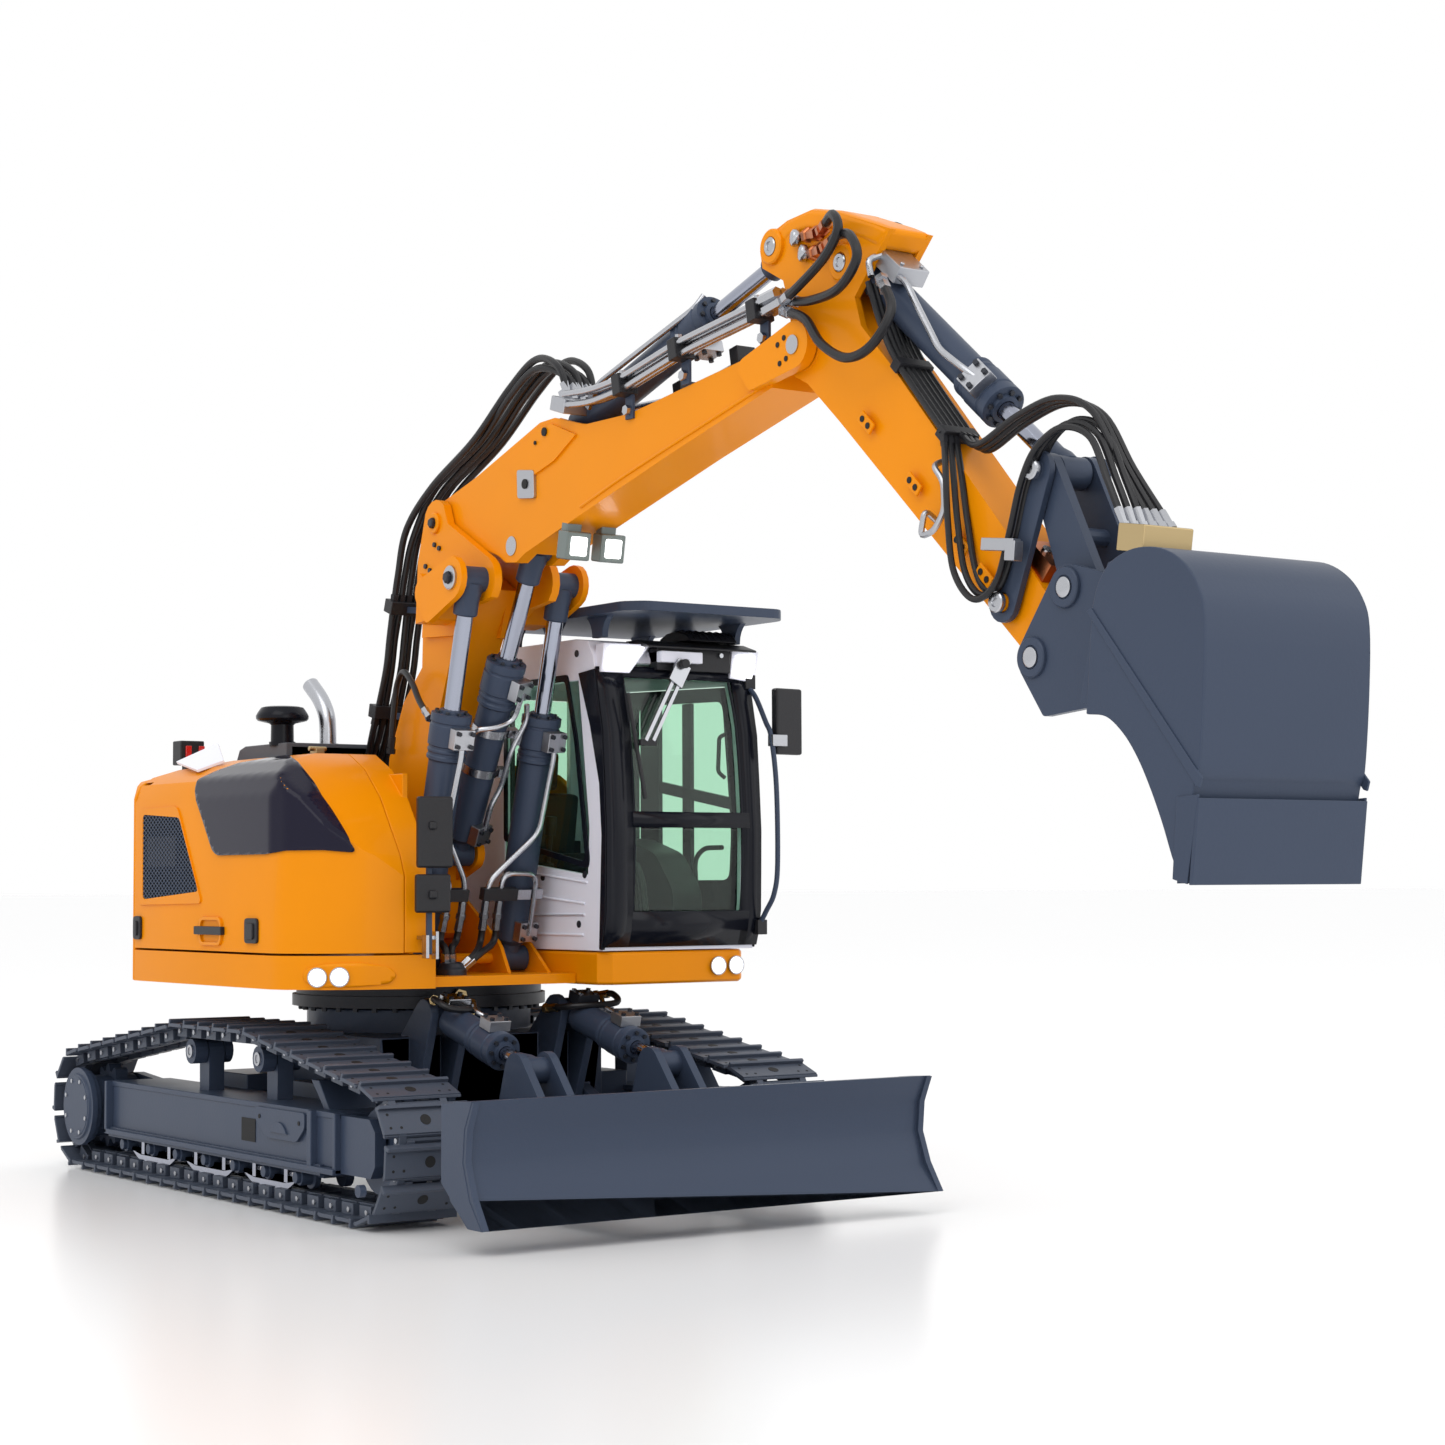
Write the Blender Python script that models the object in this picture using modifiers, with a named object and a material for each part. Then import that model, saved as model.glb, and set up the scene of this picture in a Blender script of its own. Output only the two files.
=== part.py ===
"""Radio-controlled crawler excavator, about 1:14, built as an assembly of named parts.

Machine frame: X to the machine's left, F forwards (world -Y), Z up from the ground, all in
millimetres. The slewing axis is at X 0, F 0. at() turns machine millimetres into world metres.
"""
import math

import bmesh
import bpy
from mathutils import Matrix, Vector

MM = 0.001
GAP = 0.3                     # running clearance between neighbouring solids
ORIGIN_F = 155.0              # the footprint's centre lies this far in front of the slewing axis

# undercarriage
TRACK_X = 72.8                # middle of each track
SHOE_WIDTH = 32.4
WHEEL_F = 118.0               # idler in front, sprocket behind
WHEEL_Z = 24.2
WHEEL_R = 16.2
LINK_INNER = 16.9             # radius of the chain's inner face round the wheels
LINK_HEIGHT = 4.2
SHOE_THICK = 1.4
GROUSER = 1.7
SHOE_COUNT = 48
CARRIER_F = (-25.0, 32.0)
CARRIER_Z = 50.0
CARRIER_R = 4.6
ROLLER_R = 4.4
ROLLER_Z = 12.2
FRAME_Z = (17.0, 35.0)
# blade
BLADE_HALF = 89.0
BLADE_HINGE = (75.0, 22.0)
BLADE_CYL_X = 26.6
BLADE_PIN = (127.0, 48.7)
BLADE_CYL_BASE = (66.0, 65.0)
# upper structure
HOUSE_Z = 75.0
SEAM_Z = 86.6                 # top of the skirts
HOUSE_X = 86.5
TAIL_R = 110.0
HOOD_REAR = -66.0
BAY = (-38.5, 19.5)           # the boom's bay, between the right housing and the cab
DECK_Z = 158.0
# boom group: its middle plane and its pins as (F, Z)
BOOM_X = -9.5
FOOT = (24.0, 100.0)
KNEE = (53.0, 241.0)
STICK_PIN = (268.9, 270.5)
BUCKET_PIN = (375.5, 169.7)
LINK_PIN = (388.7, 187.0)
ROCKER_PIN = (360.0, 185.7)
ROCKER_TOP = (374.5, 219.8)
LIFT_X = 18.5                 # lift cylinders, either side of the boom's middle
LIFT_BASE = (51.0, 84.0)
LIFT_TOP = (87.0, 217.3)
ADJUST_BASE = (46.0, 122.0)
ADJUST_TOP = (101.0, 228.0)
STICK_CYL_BASE = (124.7, 264.3)
STICK_CYL_TOP = (253.2, 303.5)
BUCKET_CYL_BASE = (287.9, 292.0)
# cab
CAB_X = (19.8, 85.5)
CAB_F = (-20.0, 100.0)
CAB_Z = (87.0, 199.0)

PAINT = {
    "orange": ((0.90, 0.34, 0.012), 0.30, 0.0),
    "steel_blue": ((0.072, 0.092, 0.130), 0.42, 0.3),
    "track_grey": ((0.055, 0.066, 0.090), 0.50, 0.4),
    "black_metal": ((0.012, 0.013, 0.018), 0.40, 0.2),
    "gloss_black": ((0.008, 0.008, 0.014), 0.12, 0.0),
    "cab_white": ((0.62, 0.62, 0.67), 0.35, 0.0),
    "chrome": ((0.72, 0.73, 0.76), 0.14, 1.0),
    "aluminium": ((0.60, 0.61, 0.64), 0.32, 1.0),
    "deck_grey": ((0.085, 0.090, 0.105), 0.55, 0.0),
    "glass": ((0.10, 0.30, 0.22), 0.05, 0.0),
    "rubber": ((0.012, 0.012, 0.014), 0.55, 0.0),
    "seat_black": ((0.020, 0.020, 0.024), 0.70, 0.0),
    "battery_blue": ((0.03, 0.08, 0.30), 0.40, 0.0),
}


def clear_scene():
    for old in list(bpy.data.objects):
        bpy.data.objects.remove(old, do_unlink=True)


def collection(name):
    made = bpy.data.collections.new(name)
    bpy.context.scene.collection.children.link(made)
    return made


def material(name):
    found = bpy.data.materials.get(name)
    if found:
        return found
    colour, rough, metallic = PAINT[name]
    made = bpy.data.materials.new(name)
    made.use_nodes = True
    shader = made.node_tree.nodes["Principled BSDF"]
    shader.inputs["Base Color"].default_value = (*colour, 1.0)
    shader.inputs["Roughness"].default_value = rough
    shader.inputs["Metallic"].default_value = metallic
    return made


clear_scene()
PARTS = collection("rc_excavator")
TOOLS = collection("cutters")


def at(x, f, z):
    """World place, in metres, of a point of the machine given in millimetres."""
    return Vector((x * MM, (ORIGIN_F - f) * MM, z * MM))


def put(mesh, name="tool"):
    """A mesh as an object among the cutters, until finish() makes it a part."""
    obj = bpy.data.objects.new(name, mesh)
    TOOLS.objects.link(obj)
    obj.hide_render = True
    obj.display_type = "WIRE"
    return obj


def finish(obj, name, paint, bevel=0.0):
    """Make a shape a named part with its paint, and round its edges."""
    if bevel:
        rounding = obj.modifiers.new("edges", "BEVEL")
        rounding.width = bevel * MM
        rounding.segments = 1
        rounding.limit_method = "ANGLE"
        rounding.angle_limit = math.radians(50)
    obj.name = name
    obj.data.name = name
    TOOLS.objects.unlink(obj)
    PARTS.objects.link(obj)
    obj.hide_render = False
    obj.display_type = "TEXTURED"
    obj.data.materials.clear()
    obj.data.materials.append(material(paint))
    return obj


def boolean(obj, tool, operation):
    step = obj.modifiers.new(operation.lower(), "BOOLEAN")
    step.operation = operation
    step.object = tool
    step.solver = "EXACT"
    return obj


def join(first, *others):
    for other in others:
        boolean(first, other, "UNION")
    return first


def cut(first, *tools):
    for tool in tools:
        boolean(first, tool, "DIFFERENCE")
    return first


def block(x, f, z):
    """A box between two machine coordinates on each axis."""
    bm = bmesh.new()
    bmesh.ops.create_cube(bm, size=1.0)
    size = Vector((abs(x[1] - x[0]), abs(f[1] - f[0]), abs(z[1] - z[0]))) * MM
    bmesh.ops.scale(bm, vec=size, verts=bm.verts)
    bmesh.ops.translate(bm, vec=at(sum(x) / 2, sum(f) / 2, sum(z) / 2), verts=bm.verts)
    mesh = bpy.data.meshes.new("block")
    bm.to_mesh(mesh)
    bm.free()
    return put(mesh)


SIDE_VIEW = Matrix(((0, 0, -1), (-1, 0, 0), (0, 1, 0)))    # drawn (F, Z), thick along X
TOP_VIEW = Matrix(((1, 0, 0), (0, -1, 0), (0, 0, -1)))     # drawn (X, F), thick along Z
FRONT_VIEW = Matrix(((1, 0, 0), (0, 0, -1), (0, 1, 0)))    # drawn (X, Z), thick along F


def flat(outline, view, low, high, holes=()):
    """A flat outline with round holes (u, v, radius), made thick from low to high."""
    curve = bpy.data.curves.new("outline", "CURVE")
    curve.dimensions = "2D"
    curve.fill_mode = "BOTH"
    curve.extrude = abs(high - low) / 2 * MM
    loops = [outline] + [arc((u, v), r, 0, 360, 12)[:-1] for u, v, r in holes]
    for points in loops:
        spline = curve.splines.new("POLY")
        spline.points.add(len(points) - 1)
        for place, (u, v) in zip(spline.points, points):
            place.co = (u * MM, v * MM, 0.0, 1.0)
        spline.use_cyclic_u = True
    drawn = bpy.data.objects.new("outline", curve)
    TOOLS.objects.link(drawn)
    middle = (low + high) / 2
    offset = {"SIDE": (middle, 0, 0), "TOP": (0, 0, middle), "FRONT": (0, middle, 0)}
    key = {id(SIDE_VIEW): "SIDE", id(TOP_VIEW): "TOP", id(FRONT_VIEW): "FRONT"}[id(view)]
    drawn.matrix_world = Matrix.Translation(at(*offset[key])) @ view.to_4x4()
    return as_mesh(drawn)


def as_mesh(drawn):
    """A curve object as a welded mesh object; the curve is removed."""
    bpy.context.view_layer.update()
    evaluated = drawn.evaluated_get(bpy.context.evaluated_depsgraph_get())
    mesh = bpy.data.meshes.new_from_object(evaluated)
    mesh.transform(drawn.matrix_world)
    bm = bmesh.new()
    bm.from_mesh(mesh)
    bmesh.ops.remove_doubles(bm, verts=bm.verts, dist=0.00001)
    bmesh.ops.recalc_face_normals(bm, faces=bm.faces)
    bm.to_mesh(mesh)
    bm.free()
    bpy.data.objects.remove(drawn, do_unlink=True)
    return put(mesh)


def arc(centre, radius, start, stop, steps):
    """Points on an arc, angles in degrees, both ends included."""
    turn = [math.radians(start + (stop - start) * i / steps) for i in range(steps + 1)]
    return [(centre[0] + radius * math.cos(a), centre[1] + radius * math.sin(a)) for a in turn]


def side_plate(outline, low, high, holes=()):
    return flat(outline, SIDE_VIEW, low, high, holes)


def across(centre, radius, low, high, sides=16):
    """A cylinder along X at (F, Z)."""
    bm = bmesh.new()
    turn = Matrix.Translation(at((low + high) / 2, *centre)) @ Matrix.Rotation(math.pi / 2, 4, "Y")
    bmesh.ops.create_cone(bm, cap_ends=True, segments=sides, radius1=radius * MM,
                          radius2=radius * MM, depth=abs(high - low) * MM, matrix=turn)
    mesh = bpy.data.meshes.new("round")
    bm.to_mesh(mesh)
    bm.free()
    return put(mesh)


def upright(x, f, radius, low, high, sides=24):
    """A cylinder along Z."""
    bm = bmesh.new()
    bmesh.ops.create_cone(bm, cap_ends=True, segments=sides, radius1=radius * MM,
                          radius2=radius * MM, depth=(high - low) * MM,
                          matrix=Matrix.Translation(at(x, f, (low + high) / 2)))
    mesh = bpy.data.meshes.new("round")
    bm.to_mesh(mesh)
    bm.free()
    return put(mesh)


def turned(profile, start, stop, sides=16):
    """A turned solid from start towards stop; profile is (distance along, radius) pairs."""
    mesh = bpy.data.meshes.new("turned")
    points = [(0.0, profile[0][0])] + [(r, t) for t, r in profile] + [(0.0, profile[-1][0])]
    points.reverse()                       # top to bottom, so the faces look out
    verts = [(r * MM, 0.0, t * MM) for r, t in points]
    mesh.from_pydata(verts, [(i, i + 1) for i in range(len(verts) - 1)], [])
    obj = put(mesh)
    lathe = obj.modifiers.new("turn", "SCREW")
    lathe.steps = sides
    lathe.render_steps = sides
    lathe.use_merge_vertices = True
    lathe.merge_threshold = 0.00001
    aim = (stop - start).to_track_quat("Z", "Y")
    obj.matrix_world = Matrix.Translation(start) @ aim.to_matrix().to_4x4()
    return obj


def pipe(points, radius, sides=2, cyclic=False):
    """A bent pipe through machine points (X, F, Z)."""
    curve = bpy.data.curves.new("pipe", "CURVE")
    curve.dimensions = "3D"
    curve.bevel_depth = radius * MM
    curve.bevel_resolution = sides
    curve.use_fill_caps = not cyclic
    spline = curve.splines.new("POLY")
    spline.points.add(len(points) - 1)
    for place, point in zip(spline.points, points):
        place.co = (*at(*point), 1.0)
    spline.use_cyclic_u = cyclic
    drawn = bpy.data.objects.new("pipe", curve)
    TOOLS.objects.link(drawn)
    return as_mesh(drawn)


def hull(circles, steps=6):
    """Outline of a belt drawn tight round circles (u, v, radius), given anticlockwise."""
    outline = []
    count = len(circles)
    headings = []
    for i in range(count):
        (u0, v0, r0), (u1, v1, r1) = circles[i], circles[(i + 1) % count]
        distance = math.hypot(u1 - u0, v1 - v0)
        heading = math.atan2(v1 - v0, u1 - u0) - math.asin((r1 - r0) / distance)
        headings.append(heading - math.pi / 2)
    for i, (u, v, r) in enumerate(circles):
        start, stop = headings[i - 1], headings[i]
        while stop < start:
            stop += 2 * math.pi
        turns = max(1, round(steps * (stop - start) / (math.pi / 2)))
        outline += arc((u, v), r, math.degrees(start), math.degrees(stop), turns)
    return outline


# ---------------------------------------------------------------- undercarriage

def make_car_body():
    body = block((-46, 46), (-42, 56), (21, 57))
    legs = [block((side * 44, side * 61.7), (f - 15, f + 15), (20, 41))
            for side in (-1, 1) for f in (-34, 34)]
    seat = upright(0, 0, 42, 55, 65.5)
    parts = legs + [seat]
    for side in (-1, 1):
        for offset in (-6.4, 6.4):
            x = side * BLADE_CYL_X + offset
            ear = side_plate(hull([(*BLADE_CYL_BASE, 6.0), (46, 50, 3), (46, 32, 3), (57, 32, 3)], 4),
                             x - 1.6, x + 1.6)
            parts.append(ear)
        parts.append(across(BLADE_CYL_BASE, 2.0, side * BLADE_CYL_X - 7.0, side * BLADE_CYL_X + 7.0, 12))
        x = side * 38.0
        parts.append(side_plate(hull([(*BLADE_HINGE, 6.0), (54, 34, 4), (54, 25, 3)], 4), x - 2.5, x + 2.5))
        parts.append(across(BLADE_HINGE, 2.4, *span(side, 24.0, 40.0), 12))
    return finish(join(body, *parts), "car_body", "steel_blue")


def track_circles(offset):
    """The belt's circles in side view, anticlockwise from the front idler."""
    wheel = LINK_INNER + offset
    roller = CARRIER_R + GAP + offset
    return [(WHEEL_F, WHEEL_Z, wheel), (CARRIER_F[1], CARRIER_Z, roller),
            (CARRIER_F[0], CARRIER_Z, roller), (-WHEEL_F, WHEEL_Z, wheel)]


def resample(outline, count):
    """Points and outward normals at equal steps round a closed outline."""
    closed = outline + [outline[0]]
    lengths = [math.dist(a, b) for a, b in zip(closed, closed[1:])]
    total = sum(lengths)
    result = []
    for i in range(count):
        left = total * i / count
        for (a, b), length in zip(zip(closed, closed[1:]), lengths):
            if left <= length:
                break
            left -= length
        share = left / length
        u, v = a[0] + (b[0] - a[0]) * share, a[1] + (b[1] - a[1]) * share
        result.append(((u, v), ((b[1] - a[1]) / length, -(b[0] - a[0]) / length)))
    return result


def belt(outer, inner, low, high):
    """A closed belt between two outlines with equally many points."""
    bm = bmesh.new()
    rings = []
    for points, x in ((outer, low), (outer, high), (inner, high), (inner, low)):
        rings.append([bm.verts.new(at(x, f, z)) for f, z in points])
    count = len(outer)
    for a, b in zip(rings, rings[1:] + rings[:1]):
        for i in range(count):
            k = (i + 1) % count
            bm.faces.new((a[i], a[k], b[k], b[i]))
    bmesh.ops.recalc_face_normals(bm, faces=bm.faces)
    mesh = bpy.data.meshes.new("belt")
    bm.to_mesh(mesh)
    bm.free()
    return put(mesh)


def make_chain(side, name):
    under = LINK_HEIGHT
    plate = resample(hull(track_circles(under + SHOE_THICK), 9), SHOE_COUNT * 3)
    outer = []
    for i, (point, normal) in enumerate(plate):
        lift = GROUSER if i % 3 < 2 else 0.0        # each shoe has one rib with a flat tip
        outer.append((point[0] + normal[0] * lift, point[1] + normal[1] * lift))
    inner = [(p[0] - n[0] * SHOE_THICK, p[1] - n[1] * SHOE_THICK) for p, n in plate]
    shoes = belt(outer, inner, *span(side, TRACK_X - SHOE_WIDTH / 2, TRACK_X + SHOE_WIDTH / 2))
    links = belt(hull(track_circles(under + 0.7), 9), hull(track_circles(0.0), 9),
                 *span(side, TRACK_X - 6, TRACK_X + 6))
    return finish(join(shoes, links), name, "track_grey")


def span(side, a, b):
    """X limits of a piece that lies from a to b outwards on one side."""
    return tuple(sorted((side * a, side * b)))


def make_track_frame(side, name):
    box = block(span(side, 62, 84), (-90, 96), FRAME_Z)
    outer = side_plate([(90, 16), (121, 16), (124, 20), (124, 31), (120, 35), (90, 35)], *span(side, 80, 84))
    inner = side_plate([(90, 16), (121, 16), (126, 20), (126, 29), (120, 35), (90, 35)], *span(side, 62, 66))
    rear = side_plate(hull([(-85, 18, 2), (-85, 32, 2), (-WHEEL_F, WHEEL_Z, 12.5)], 5), *span(side, 60.5, 64.5))
    ledge = block(span(side, 82, 85.5), (-92, 88), (14.4, 18.0))
    saddles = [side_plate(hull([(f, CARRIER_Z, 4.3), (f - 3, 34, 1), (f + 3, 34, 1)], 4), *span(side, 70, 76),
                          [(f, CARRIER_Z, 3.35)]) for f in CARRIER_F]
    return finish(join(box, outer, inner, rear, ledge, *saddles), name, "steel_blue")


def make_wheels(side, tag):
    sprocket = across((-WHEEL_F, WHEEL_Z), 12.0, *span(side, 65, 84.5), 24)
    teeth = 14
    outline = []
    for i in range(teeth * 4):
        radius = WHEEL_R if i % 4 in (1, 2) else WHEEL_R - 2.6
        turn = 2 * math.pi * (i + 0.5) / (teeth * 4)
        outline.append((-WHEEL_F + radius * math.cos(turn), WHEEL_Z + radius * math.sin(turn)))
    rim = side_plate(outline, *span(side, TRACK_X - 2.5, TRACK_X + 2.5))
    cover = turned([(0, 14.2), (1.6, 14.2), (2.6, 12.6)], at(side * 83.6, -WHEEL_F, WHEEL_Z),
                   at(side * 90, -WHEEL_F, WHEEL_Z), 24)
    finish(join(sprocket, rim, cover), "sprocket_" + tag, "steel_blue")
    idler = turned([(0, 3.4), (1.2, 3.4), (1.2, 14.2), (4.2, 14.2), (4.2, WHEEL_R), (9.4, WHEEL_R),
                    (9.4, 14.2), (12.4, 14.2), (12.4, 3.4), (13.4, 3.4)],
                   at(side * 66.3, WHEEL_F, WHEEL_Z), at(side * 90, WHEEL_F, WHEEL_Z), 24)
    finish(idler, "idler_" + tag, "steel_blue")
    for place, f in zip(("rear", "front"), CARRIER_F):
        inner = across((f, CARRIER_Z), CARRIER_R, *span(side, 66.5, 81.5), 16)
        groove = ring_cutter((f, CARRIER_Z), 3.0, CARRIER_R + 1, *span(side, 69.5, 76.5))
        finish(cut(inner, groove), f"carrier_roller_{place}_{tag}", "steel_blue")


def ring_cutter(centre, inner, outer, low, high):
    """A cutter that turns a groove into a shaft along X."""
    return belt(arc(centre, outer, 0, 360, 16)[:-1], arc(centre, inner, 0, 360, 16)[:-1], low, high)


def make_roller_bank(side, name):
    spine = block(span(side, 69, 77), (-82, 73), (12.8, 16.7))
    rollers = [across((-79 + 24.7 * i, ROLLER_Z), ROLLER_R, *span(side, 67.5, 80.5), 12) for i in range(7)]
    parts = list(rollers)
    for f in (-56, -6.5, 43):
        guard = arc((f, 43), 38.6, 233.5, 306.5, 7)
        parts.append(side_plate(guard, *span(side, 79.5, 81.3)))
    return finish(join(spine, *parts), name, "aluminium")


def make_blade():
    back = [(184, 45), (178.5, 34), (178, 24), (182, 15), (193, 7.5)]
    front = [(201, 7.5), (193.5, 16), (189.5, 27), (190.5, 37), (195, 45.7)]
    board = side_plate(back + front, -BLADE_HALF, BLADE_HALF)
    hollow = side_plate([(183, 30), (187, 17), (150, 10), (150, 60), (189, 60), (185.5, 40)], -84, 84)
    parts = []
    for side in (-1, 1):
        parts.append(side_plate([(176, 44), (176, 20), (192, 7.6), (201.5, 7.6), (195, 17), (191, 27),
                                 (192, 37), (196, 45.6)], *span(side, 86.6, 88.8)))
        arm = side_plate([(70, 15), (120, 9), (187, 9), (187, 24), (120, 26), (70, 29)],
                         *span(side, 22.5, 34.6))
        parts.append(arm)
        x = side * BLADE_CYL_X
        for offset in (-5.7, 5.7):
            ear = side_plate(hull([(*BLADE_PIN, 6.2), (113, 20, 2), (158, 20, 2)], 4),
                             x + offset - 1.5, x + offset + 1.5)
            parts.append(ear)
        parts.append(across(BLADE_PIN, 2.0, x - 6.0, x + 6.0, 12))
    bore = across(BLADE_HINGE, 2.7, -60, 60, 12)
    blade = join(cut(board, hollow), *parts)
    return finish(cut(blade, bore), "dozer_blade", "steel_blue")


def make_cylinder(name, x, base, top, tube, head, body, rod, eye_width, slack, neck, travel):
    """A hydraulic cylinder in the plane X = x: barrel from its base pin, rod to its top pin.

    body is the barrel's length from the base pin to the head's face, neck the length that
    passes between the ears, travel how far the rod goes (in, out). The rod's eye has slack
    round its pin, because that is where the closed linkage is opened.
    """
    start, stop = at(x, *base), at(x, *top)
    reach = math.dist(base, top)
    bore = rod + GAP
    held = body - travel[1] - 9
    barrel = turned([(2, eye_width / 2 - 0.2), (neck, eye_width / 2 - 0.2), (neck + 1.5, tube),
                     (body - 12, tube), (body - 11, head), (body, head)], start, stop)
    tunnel = turned([(held - travel[0] - 2, bore), (body + 5, bore)], start, stop, 14)
    eye = across(base, 4.6, x - eye_width / 2, x + eye_width / 2, 16)
    hole = across(base, 2.3, x - eye_width, x + eye_width, 12)
    made = cut(join(barrel, eye), tunnel, hole)
    finish(made, name + "_barrel", "steel_blue")
    piston = turned([(held, rod), (reach - 4.2, rod)], start, stop, 12)
    knuckle = across(top, 4.2 + slack, x - eye_width / 2, x + eye_width / 2, 16)
    opening = across(top, 2.0 + slack, x - eye_width, x + eye_width, 12)
    finish(cut(join(piston, knuckle), opening), name + "_rod", "chrome")


# ---------------------------------------------------------------- upper structure

def plan_right(inset=0.0):
    """Plan outline of the right housing, with its rounded front outer corner."""
    outer = -HOUSE_X + inset
    front = [(outer, 52), (outer + 2.5, 59 - inset), (-75, 69 - inset), (-63, 76 - inset), (-50, 80 - inset)]
    return [(BAY[0], 82 - inset), (BAY[0], HOOD_REAR), (outer, HOOD_REAR)] + front


def arc_tail(inset=0.0):
    """Plan outline of the tail, an arc round the slewing axis."""
    half = math.degrees(math.asin((HOUSE_X - inset) / (TAIL_R - inset)))
    return arc((0, 0), TAIL_R - inset, 270 - half, 270 + half, 14)


def side_profile(rise=0.0):
    """Side view of the right housing from the seam up; its front leans back."""
    return [(HOOD_REAR, SEAM_Z + 0.8 - rise * 9), (84, SEAM_Z + 0.8 - rise * 9), (84.5 - rise, 103),
            (77 - rise, 121), (62 - rise, 141.5), (50 - rise, 152 - rise), (38, 157.6 - rise),
            (-30, 157.6 - rise), (HOOD_REAR, 152 - rise)]


def front_profile(rise=0.0, side=-1):
    """Front view of a housing: its shoulder is rounded."""
    points = [(-HOUSE_X + rise, 70), (-HOUSE_X + rise, 142), (-84 + rise, 149 - rise),
              (-76, 154.5 - rise), (-62, 157.8 - rise), (-20, 158.4 - rise), (-20, 70)]
    return [(-side * x, z) for x, z in points]


def housing(inset):
    """The right housing as a solid, its faces moved in by inset."""
    shape = flat(plan_right(inset), TOP_VIEW, 78, 165)
    boolean(shape, flat(side_profile(inset), SIDE_VIEW, -95, -20), "INTERSECT")
    boolean(shape, flat(front_profile(inset), FRONT_VIEW, -80, 100), "INTERSECT")
    return shape


def make_upper_frame():
    skirt = flat(plan_right(), TOP_VIEW, HOUSE_Z, SEAM_Z)
    deck = block((-60, 86), (-65.5, -21), (HOUSE_Z + 0.4, 83.5))
    bay = block((-40, 19.4), (-40, 80.5), (HOUSE_Z + 0.4, 78.9))
    parts = [deck, bay]
    for offset in (-11.4, 11.4):
        x = BOOM_X + offset
        cheek = hull([(*FOOT, 9), (-2, 78, 2), (62, 78, 2), (LIFT_BASE[0] + 2, LIFT_BASE[1] + 1, 6)], 5)
        parts.append(side_plate(cheek, x - 0.7, x + 0.7))
    for side in (-1, 1):
        x = BOOM_X + side * (LIFT_X + 7.1)
        cheek = hull([(*LIFT_BASE, 6.5), (36, 78, 2), (66, 78, 2)], 4)
        parts.append(side_plate(cheek, x - 0.7, x + 0.7))
    parts.append(across(LIFT_BASE, 2.0, BOOM_X - LIFT_X - 7, BOOM_X + LIFT_X + 7, 12))
    parts.append(across(FOOT, 3.0, BOOM_X - 11.8, BOOM_X + 11.8, 14))
    return finish(join(skirt, *parts), "upper_frame", "orange")


def make_counterweight():
    plan = arc_tail() + [(HOUSE_X, HOOD_REAR - 0.4), (-HOUSE_X, HOOD_REAR - 0.4)]
    weight = flat(plan, TOP_VIEW, HOUSE_Z, 155)
    profile = [(-120, 70), (-60, 70), (-60, 152.5), (-88, 149), (-102, 143), (-120, 128)]
    boolean(weight, side_plate(profile, -95, 95), "INTERSECT")
    across_view = [(HOUSE_X + 1, 70), (HOUSE_X + 1, 142), (84, 149), (76, 154.2), (62, 160)]
    across_view += [(-x, z) for x, z in across_view][::-1]
    boolean(weight, flat(across_view, FRONT_VIEW, -130, -50), "INTERSECT")
    return finish(weight, "counterweight", "orange")


def make_hoods():
    """The right hood wraps its front corner; a fixed strip of the same shell runs beside the boom."""
    seam = -49.9
    shell = cut(housing(0.0), housing(2.0), block((-84, -30), (-70, -58), (70, 150)),
                block((seam, -30), (-70, 100), (70, 175)))
    hood = boolean(shell, block((-100, seam), (HOOD_REAR, 100), (87.4, 170)), "INTERSECT")
    finish(hood, "hood_right", "orange")
    strip = cut(housing(0.0), housing(2.2))
    boolean(strip, block((seam + 0.4, BAY[0] - 0.1), (10.6, 100), (87.4, 170)), "INTERSECT")
    wall = block((BAY[0] - 2.4, BAY[0] - 0.1), (-10, 62), (87.4, 150))
    finish(join(strip, wall), "front_fender", "orange")
    left = flat([(50, -66), (86.5, -66), (86.5, -21.5), (50, -21.5)], TOP_VIEW, 87.4, 165)
    boolean(left, flat(front_profile(0, 1), FRONT_VIEW, -80, 100), "INTERSECT")
    core = flat([(40, -70), (84.3, -70), (84.3, -10), (40, -10)], TOP_VIEW, 80, 165)
    boolean(core, flat(front_profile(2.2, 1), FRONT_VIEW, -90, 100), "INTERSECT")
    finish(cut(left, core), "hood_left", "orange")


def make_engine_deck():
    top = flat([(-49, -64), (49.5, -64), (49.5, -21.5), (14, -21.5), (14, -12), (-38, -12), (-49, 10)],
               TOP_VIEW, 156.0, 159.0)
    hump = block((-44, 30), (-60, -20), (158, 163.5))
    walls = [block((-38.2, 18), (-16, -13.5), (80.2, 157)), block((-30, 40), (-64, -61.5), (87, 157))]
    return finish(join(top, hump, *walls), "engine_deck", "deck_grey", 0.4)


def make_stacks():
    x, f = -42.5, -30.5
    stack = turned([(0, 4.6), (8.5, 4.6), (9.5, 7.6), (10.3, 9.6), (11.8, 9.8), (14.0, 8.4), (15.0, 5.6)],
                   at(x, f, 163.9), at(x, f, 220), 20)
    finish(stack, "air_intake", "gloss_black")
    bend = [(-26, -25, 163.8), (-26, -25.5, 172), (-26, -27.5, 177.5), (-27, -32.5, 182.5), (-28, -38.5, 187)]
    finish(pipe(bend, 3.2), "exhaust_pipe", "chrome")


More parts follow.
